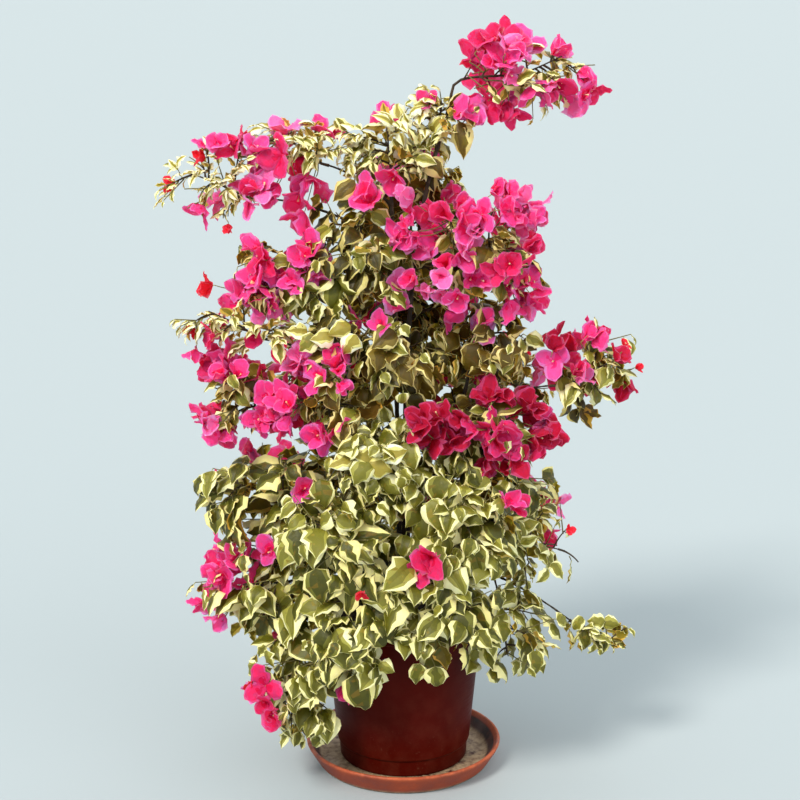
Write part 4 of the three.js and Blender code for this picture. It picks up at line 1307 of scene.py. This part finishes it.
def joined_mesh(name, blade, places, slots, materials, crease):
    """One mesh of all the blades, with the material of each face, a crisp rim and a crease."""
    count, points = places.shape[:2]
    faces = [[v + i * points for v in face] for i in range(count) for face in blade.faces]
    mesh = bpy.data.meshes.new(name)
    mesh.from_pydata((places * MM).reshape(-1, 3).tolist(), [], faces)
    for material in materials:
        mesh.materials.append(material)
    mesh.polygons.foreach_set("material_index", slots.ravel())
    mesh.shade_smooth()
    ends = np.empty(2 * len(mesh.edges), np.int32)
    mesh.edges.foreach_get("vertices", ends)
    ends = ends.reshape(-1, 2) % points
    crisp = blade.rim[ends].all(axis=1)
    if crease:
        crisp = crisp | blade.middle[ends].all(axis=1)
    mesh.edges.foreach_set("use_edge_sharp", crisp)
    mesh.update()
    return mesh


def add_piece(name, mesh, nodes):
    """A finished piece that stands for these CAD nodes and rides with the body."""
    piece = placed(name, mesh)
    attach(piece, "root")
    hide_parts(*nodes)


def stalk_mesh(name, stalks, roundness, materials):
    """Round stalks with closed ends along their ways, as one mesh."""
    curve = bpy.data.curves.new(name, "CURVE")
    curve.dimensions = "3D"
    curve.bevel_depth = MM
    curve.bevel_resolution = roundness
    curve.use_fill_caps = True
    for material in materials:
        curve.materials.append(material)
    for points, radii, tint in stalks:
        spline = curve.splines.new("POLY")
        spline.points.add(len(points) - 1)
        places = np.column_stack([points * MM, np.ones(len(points))])
        spline.points.foreach_set("co", places.ravel())
        spline.points.foreach_set("radius", np.array(radii, float))
        spline.material_index = tint
        spline.use_smooth = True
    holder = placed(name, curve)
    mesh = bpy.data.meshes.new_from_object(holder)
    bpy.data.objects.remove(holder)
    bm = bmesh.new()
    bm.from_mesh(mesh)
    bmesh.ops.remove_doubles(bm, verts=bm.verts[:], dist=1e-6)
    bmesh.ops.recalc_face_normals(bm, faces=bm.faces[:])
    bm.to_mesh(mesh)
    bm.free()
    mesh.name = name
    return mesh


def closed_mesh(name, bm, material):
    """The mesh of a closed shape, with its faces out and smooth."""
    bmesh.ops.recalc_face_normals(bm, faces=bm.faces[:])
    mesh = bpy.data.meshes.new(name)
    bm.to_mesh(mesh)
    bm.free()
    mesh.materials.append(material)
    mesh.shade_smooth()
    return mesh


# Turned pieces: saucer, pot and soil
def turned_mesh(name, profile, steps, material, relief=None):
    """A closed profile of radius and height, turned about the upright axis."""
    bm = bmesh.new()
    verts = [bm.verts.new((radius * MM, 0, height * MM)) for radius, height in profile]
    edges = [bm.edges.new(pair) for pair in zip(verts[:-1], verts[1:])]
    bmesh.ops.spin(bm, geom=verts + edges, cent=(0, 0, 0), axis=(0, 0, 1), dvec=(0, 0, 0),
                   angle=FULL_TURN, steps=steps, use_merge=True, use_duplicate=False)
    bmesh.ops.remove_doubles(bm, verts=bm.verts[:], dist=1e-5)
    if relief:
        for vert in bm.verts:
            vert.co += relief(vert.co)
    return closed_mesh(name, bm, material)


def rounded(profile, radius, steps=4):
    """The profile with its inner corners turned into arcs, where they have room."""
    result = [profile[0]]
    for before, corner, after in zip(profile[:-2], profile[1:-1], profile[2:]):
        a, b, c = (np.array(p, float) for p in (before, corner, after))
        room = min(radius, 0.45 * norm(a - b), 0.45 * norm(c - b))
        first, last = b + unit(a - b) * room, b + unit(c - b) * room
        for i in range(steps + 1):
            t = i / steps
            result.append(tuple((1 - t) ** 2 * first + 2 * t * (1 - t) * b + t * t * last))
    result.append(profile[-1])
    return result


def saucer_mesh():
    foot, rim, height = SAUCER["foot"], SAUCER["rim"], SAUCER["height"]
    wall, floor, lip = SAUCER["wall"], SAUCER["floor"], SAUCER["lip"]
    profile = [
        (0, 0), (foot - lip, 0), (foot + 1, lip), (rim - lip, height - 3 * lip),
        (rim - lip / 2, height - 2 * lip), (rim, height - lip), (rim - lip / 2, height),
        (rim - wall + 1, height), (rim - wall - lip / 2, height - lip),
        (foot - wall / 2, floor + lip), (foot - wall - lip, floor), (0, floor),
    ]
    return turned_mesh("saucer_clay", rounded(profile, 4), 144, clay_finish())


def pot_mesh():
    foot, base, top, height = POT["foot"], POT["base"], POT["top"], POT["height"]
    wall, band, step = POT["wall"], POT["foot_band"], POT["step"]
    rim_foot = height - POT_RIM["height"]
    rim = top + POT_RIM["out"]
    profile = [
        (0, 0), (foot - 1, 0), (foot + 0.6, 3), (foot + 1.5, band), (base, band + step),
        (base + 0.4, band + step + 4), (top, rim_foot - 3), (rim - 1, rim_foot),
        (rim, rim_foot + 4), (rim, height - 3), (rim - 1, height),
        (top - wall + 1, height), (top - wall, height - 2),
        (base - wall, band + step), (foot - wall, band), (foot - wall - 1, wall), (0, wall),
    ]
    lifted = [(radius, z + POT_BOTTOM) for radius, z in rounded(profile, 1.6)]
    return turned_mesh("pot_shell", lifted, 144, plastic_finish())


def soil_mesh():
    """Soil inside the pot, lumpy on top."""
    bottom = POT_BOTTOM + POT["wall"] + SEAT_GAP
    level = SOIL_TOP - POT_BOTTOM
    lower = POT["foot_band"] + POT["step"]
    share = (level - lower) / (POT["height"] - 2 - lower)
    inside = POT["base"] - POT["wall"] + (POT["top"] - POT["base"]) * share - SEAT_GAP
    side = POT["foot"] - POT["wall"] - 2 * SEAT_GAP
    profile = [(0, bottom), (side - 1, bottom), (side, POT_BOTTOM + POT["foot_band"]),
               (POT["base"] - POT["wall"] - 2 * SEAT_GAP, POT_BOTTOM + lower + 1)]
    for i in range(25):
        radius = (inside - 1) * (1 - i / 24)
        profile.append((radius, SOIL_TOP - SOIL["mound"] * min(1, radius / (inside - 1)) - 0.2))

    def lumps(co):
        if co.z < (SOIL_TOP - 6) * MM or co.xy.length > (inside - 3) * MM:
            return Vector((0, 0, 0))
        coarse = noise.noise(co * 60) * 1.6
        fine = noise.noise(co * 190) * 1.1
        return Vector((0, 0, min(0.0, coarse + fine - 0.6) * MM))

    return turned_mesh("soil_bed", profile, 120, soil_finish(), lumps)


# Bark of the trunk, the stems and the boughs
def trunk_mesh(material):
    """The trunk's foot, from a ring that is extruded along its lean, with ribs and bark relief."""
    height, lean = TRUNK["height"], TRUNK["lean"]
    way = smooth_way([
        (0, 0, TRUNK_FOOT), (0, 0, TRUNK_FOOT + height * 0.25),
        (-lean * 0.3, lean * 0.2, TRUNK_FOOT + height * 0.6), (-lean * 0.4, lean * 0.4, TRUNK_TOP),
    ])
    rings = 26
    bm = bmesh.new()
    ring = bmesh.ops.create_circle(bm, segments=48, radius=1, cap_ends=True)["verts"]
    turns = [math.atan2(v.co.y, v.co.x) for v in ring]
    edges = bm.edges[:]
    for i in range(rings + 1):
        share = i / rings
        centre = way.at(share)
        spread = TRUNK["flare"] * math.exp(-share * height / TRUNK["flare_height"])
        head = 1 - 0.16 * max(0, (share - 0.9) / 0.1) ** 2
        for vert, turn in zip(ring, turns):
            radius = (TRUNK["radius"] + spread * (1 + 0.35 * math.cos(TRUNK["ribs"] * turn))) * head
            out = Vector((math.cos(turn), math.sin(turn), 0))
            ridge = noise.noise(out * 3.2 + Vector((0, 0, centre[2] * 0.03)))
            vert.co = (Vector(centre) + out * (radius + ridge * 0.9 - 0.4)) * MM
        if i < rings:
            made = bmesh.ops.extrude_edge_only(bm, edges=edges)["geom"]
            edges = [part for part in made if isinstance(part, bmesh.types.BMEdge)]
            ring = [part for part in made if isinstance(part, bmesh.types.BMVert)]
    bmesh.ops.edgeloop_fill(bm, edges=edges)
    return closed_mesh("trunk_bark", bm, material)


def limb_stalk(way, radius, tip_radius, swell, steps):
    """Points and radii of a limb, a little swollen where leaves once stood."""
    shares = np.linspace(0, 1, steps + 1)
    points = np.array([way.at(share) for share in shares])
    radii = radius + (tip_radius - radius) * shares
    turns = shares * way.length / RINGS["apart"] * FULL_TURN
    rings = np.maximum(0, np.cos(turns)) ** RINGS["sharp"]
    return points, radii * (0.94 + swell * rings), WOODY


def add_relief(mesh, depth, grain):
    """Bark ridges: points moved in and out along the way that they face."""
    bm = bmesh.new()
    bm.from_mesh(mesh)
    bm.normal_update()
    for vert in bm.verts:
        co = Vector((vert.co.x, vert.co.y, vert.co.z * 0.3)) * grain
        vert.co += vert.normal * (noise.noise(co) * depth * MM)
    bm.to_mesh(mesh)
    bm.free()


# Grow the crown
limbs = Segments()
for name, stem in STEMS.items():
    stem["way"] = stem_way(stem)
    limbs.add(stem["way"].spaced(STEM["steps"]), STEM["radius"], name)

MASS_KEYS = ("name", "on", "at", "bough", "centre", "half", "leaf", "leaves", "blooms")
masses = [dict(zip(MASS_KEYS, row), index=i) for i, row in enumerate(MASSES)]
for mass in masses:
    mass["centre"] = np.array(mass["centre"], float)
    mass["half"] = np.array(mass["half"], float)
CENTRES = np.array([mass["centre"] for mass in masses])
SIZES = np.array([np.prod(mass["half"]) ** (1 / 3) for mass in masses])

bough_ways = []
for mass in masses:
    stem = STEMS["stem_" + mass["on"]]
    carrier = stem["way"]
    mass["start"] = None
    if mass["bough"]:
        carrier = bough_way(mass, stem)
        bough_ways.append((mass["name"], carrier))
        limbs.add(carrier.spaced(BOUGH["steps"]), BOUGH["radius"], "bough_" + mass["name"])
    elif mass["at"]:
        mass["start"] = point_at_height(stem["way"], mass["at"])
    points = own_stem_points(mass, carrier)
    mass["way"] = smooth_way(points)
    mass["spaced"] = mass["way"].spaced(24)
    limbs.add(points, TWIG["stem"], mass["name"])


def crown_zone(mass):
    if mass["name"].startswith("back"):
        return "back"
    if mass["centre"][2] > 600:
        return "upper" if mass["centre"][2] > 860 else "middle"
    return "left" if mass["centre"][0] < 0 else "right"


zones = {zone: Growth() for zone in ("upper", "middle", "left", "right", "back")}
for mass in masses:
    growth = zones[crown_zone(mass)]
    growth.masses.append(mass["name"])
    Grower(mass, growth).grow()

# Materials of the leaves, the bracts, the stalks and the bark
leaf_materials = [
    blade_finish(f"leaf_{tone}_{part}", colour, 0.6 if "under" in part else 0.46, 170, LEAF_GLOW)
    for tone, colours in LEAF_TONES.items() for part, colour in zip(LEAF_PARTS, colours)
]
bract_materials = [
    blade_finish(f"bract_{tone}_{part}", colour, 0.62, 240, BRACT_GLOW)
    for tone, colours in BRACT_TONES.items() for part, colour in zip(BRACT_PARTS, colours)
]
floret_material = blade_finish("floret_cream", (244, 206, 164), 0.6, 300, LEAF_GLOW)
# In the order of the kinds WOODY, YOUNG and GREEN.
stalk_materials = [
    bark_finish("twig_bark", linear(44, 32, 20), linear(76, 58, 36), 260),
    bark_finish("young_twig", linear(92, 84, 44), linear(128, 118, 66), 260),
    blade_finish("leaf_stalk", (158, 156, 88), 0.6, 300, LEAF_GLOW),
]
trunk_material = bark_finish("trunk_bark", linear(48, 34, 22), linear(96, 76, 54), 120)
limb_material = bark_finish("limb_bark", linear(30, 22, 16), linear(62, 48, 34), 190)

leaf_blade = Blade(len(LEAF_FORM["stations"]) - 1, 3)
bract_blade = Blade(len(BRACT_FORM["stations"]) - 1, 3)


def drawn_values(ranges, random):
    """A value out of each range, in their order."""
    return {key: least + spread * random() for key, (least, spread) in ranges.items()}


def dress_leaves(name, growth, seed):
    """All the leaves of a zone, their colours dealt out by spray."""
    random, chance = make_random(seed), np.random.default_rng(seed)
    tone_names = list(LEAF_TONES)
    tones = {}
    bases = []
    for leaf in growth.leaves:
        habit = leaf["habit"]
        drawn = habit["tones"][int(random() * len(habit["tones"]))]
        tone = tones.setdefault(leaf["spray"], drawn)
        tone = leaf["tone"] or ("young" if random() < 0.08 else tone)
        leaf["width"] = habit["width"] + LEAF["broader"] * random()
        leaf.update(drawn_values(LEAF_BENDS, random))
        leaf["shares"] = leaf_shares(leaf_blade.rows, habit["green"], random)
        bases.append(tone_names.index(tone) * len(LEAF_PARTS))
    parts = np.where(leaf_blade.under, 3 + (leaf_blade.strip == 2), leaf_blade.strip)
    places = shape_blades(leaf_blade, LEAF_FORM, growth.leaves, chance)
    slots = np.array(bases)[:, None] + parts
    mesh = joined_mesh(name, leaf_blade, places, slots, leaf_materials, LEAF_FORM["crease"])
    add_piece(name, mesh, growth.masses)


def drawn_tone(bloom, tones, random):
    """Most blooms have the tone of their spray, some a lighter or deeper one."""
    draw = random()
    tone = tones.setdefault(bloom["spray"],
                            "hot" if draw < 0.4 else "magenta" if draw < 0.75 else "deep")
    if random() < 0.25:
        tone = "light" if random() < 0.7 else "deep"
    return bloom["tone"] or tone


def bract_record(bloom, around, opening, random):
    """One bract of a bloom, tilted out from its axis, with its own length and bends."""
    radial = sideways(bloom["axis"], around + 0.3 * (random() - 0.5))
    tilt = opening + 0.5 * (random() - 0.5)
    heading = bloom["axis"] * math.cos(tilt) + radial * math.sin(tilt)
    top = bloom["axis"] * math.sin(tilt) - radial * math.cos(tilt)
    record = dict(root=bloom["root"], heading=heading, top=top, side=np.cross(heading, top),
                  length=bloom["bract"] * (0.84 + 0.28 * random()))
    record.update(drawn_values(BRACT_BENDS, random))
    record["shares"] = [
        [[0, 0.3 + 0.15 * random(), 0.66 + 0.14 * random(), 1] for _ in range(2)]
        for _ in range(bract_blade.rows + 1)]
    return record


def dress_blooms(name, growth, seed):
    """Three cupped bracts to a bloom, in the tone of its spray."""
    random, chance = make_random(seed), np.random.default_rng(seed)
    tone_names = list(BRACT_TONES)
    tones = {}
    records, bases = [], []
    for bloom in growth.blooms:
        tone = drawn_tone(bloom, tones, random)
        turn = FULL_TURN * random()
        opening = 0.35 + 0.85 * random()
        for n in range(BLOOM["bracts"]):
            around = turn + n * FULL_TURN / BLOOM["bracts"]
            records.append(bract_record(bloom, around, opening, random))
            bases.append(tone_names.index(tone) * len(BRACT_PARTS))
    edge = (bract_blade.strip == 2) & (bract_blade.face_row > 1) | (bract_blade.face_row > 5)
    heart = (bract_blade.strip == 0) & (bract_blade.face_row < 3)
    parts = np.where(edge, 2, np.where(heart, 0, 1))
    slots = np.array(bases)[:, None] + parts
    places = shape_blades(bract_blade, BRACT_FORM, records, chance)
    mesh = joined_mesh(name, bract_blade, places, slots, bract_materials, BRACT_FORM["crease"])
    add_piece(name, mesh, growth.masses)


def dress_florets(name, growth, seed):
    """Small cream trumpets inside the blooms, one or two or none."""
    random = make_random(seed)
    trumpets = []
    for bloom in growth.blooms:
        for _ in range(2):
            if random() > FLORET["share"]:
                continue
            lean = sideways(bloom["axis"], FULL_TURN * random())
            heading = unit(bloom["axis"] + lean * FLORET["spread"] * random()) * bloom["bract"]
            foot = bloom["root"] + heading * 0.04
            shares = (0, FLORET["tube"], FLORET["throat"])
            points = np.array([foot + heading * share for share in shares])
            radii = np.array([FLORET["radius"], FLORET["radius"] * 1.3, FLORET["mouth"]])
            trumpets.append((points, radii, 0))
    mesh = stalk_mesh(name, trumpets, 0, [floret_material])
    add_piece(name, mesh, growth.masses)


for i, (zone, growth) in enumerate(zones.items()):
    dress_leaves(f"leaves_{zone}", growth, SEEDS["leaves"] + i)
    dress_blooms(f"blossom_{zone}", growth, SEEDS["blooms"] + i)
    dress_florets(f"florets_{zone}", growth, SEEDS["florets"] + i)
    twig_mesh = stalk_mesh(f"twigs_{zone}", growth.stalks, 0, stalk_materials)
    add_piece(f"twigs_{zone}", twig_mesh, growth.masses)

# Bark pieces
add_piece("trunk_bark", trunk_mesh(trunk_material), ["trunk"])
stem_stalks = [limb_stalk(stem["way"], STEM["radius"], STEM["tip_radius"], 0.14, 150)
               for stem in STEMS.values()]
stem_mesh = stalk_mesh("stem_bark", stem_stalks, 4, [limb_material])
add_relief(stem_mesh, 0.8, 330)
add_piece("stem_bark", stem_mesh, list(STEMS))
bough_stalks = [limb_stalk(way, BOUGH["radius"] * 0.8, BOUGH["tip_radius"] * 0.5, 0.14, 40)
                for _, way in bough_ways]
bough_mesh = stalk_mesh("bough_bark", bough_stalks, 3, [limb_material])
add_relief(bough_mesh, 0.6, 330)
add_piece("bough_bark", bough_mesh, ["bough_" + name for name, _ in bough_ways])

# Pot, saucer and soil
add_piece("saucer_clay", saucer_mesh(), ["saucer"])
add_piece("pot_shell", pot_mesh(), ["pot"])
add_piece("soil_bed", soil_mesh(), ["soil"])


# Floor and light
def floor_piece():
    bm = bmesh.new()
    bmesh.ops.create_circle(bm, cap_ends=True, segments=64, radius=FLOOR["radius"])
    mesh = bpy.data.meshes.new("floor")
    bm.to_mesh(mesh)
    bm.free()
    mesh.materials.append(Finish("floor", linear(*FLOOR["colour"]), 0.9).material)
    placed("floor", mesh)


def soft_sun(name, place, spread, power, colour):
    """Parallel light, so that the floor is as bright far away as beside the plant."""
    data = bpy.data.lights.new(name, "SUN")
    data.angle = math.radians(spread)
    data.energy = power
    data.color = colour
    light = placed(name, data)
    light.location = place
    light.rotation_euler = Vector(place).to_track_quat("Z", "Y").to_euler()


floor_piece()
for name, sun in SUNS.items():
    soft_sun(name, *sun)
world = bpy.data.worlds.new("studio")
world.use_nodes = True
background = world.node_tree.nodes["Background"]
background.inputs["Color"].default_value = SKY["colour"]
background.inputs["Strength"].default_value = SKY["power"]
bpy.context.scene.world = world
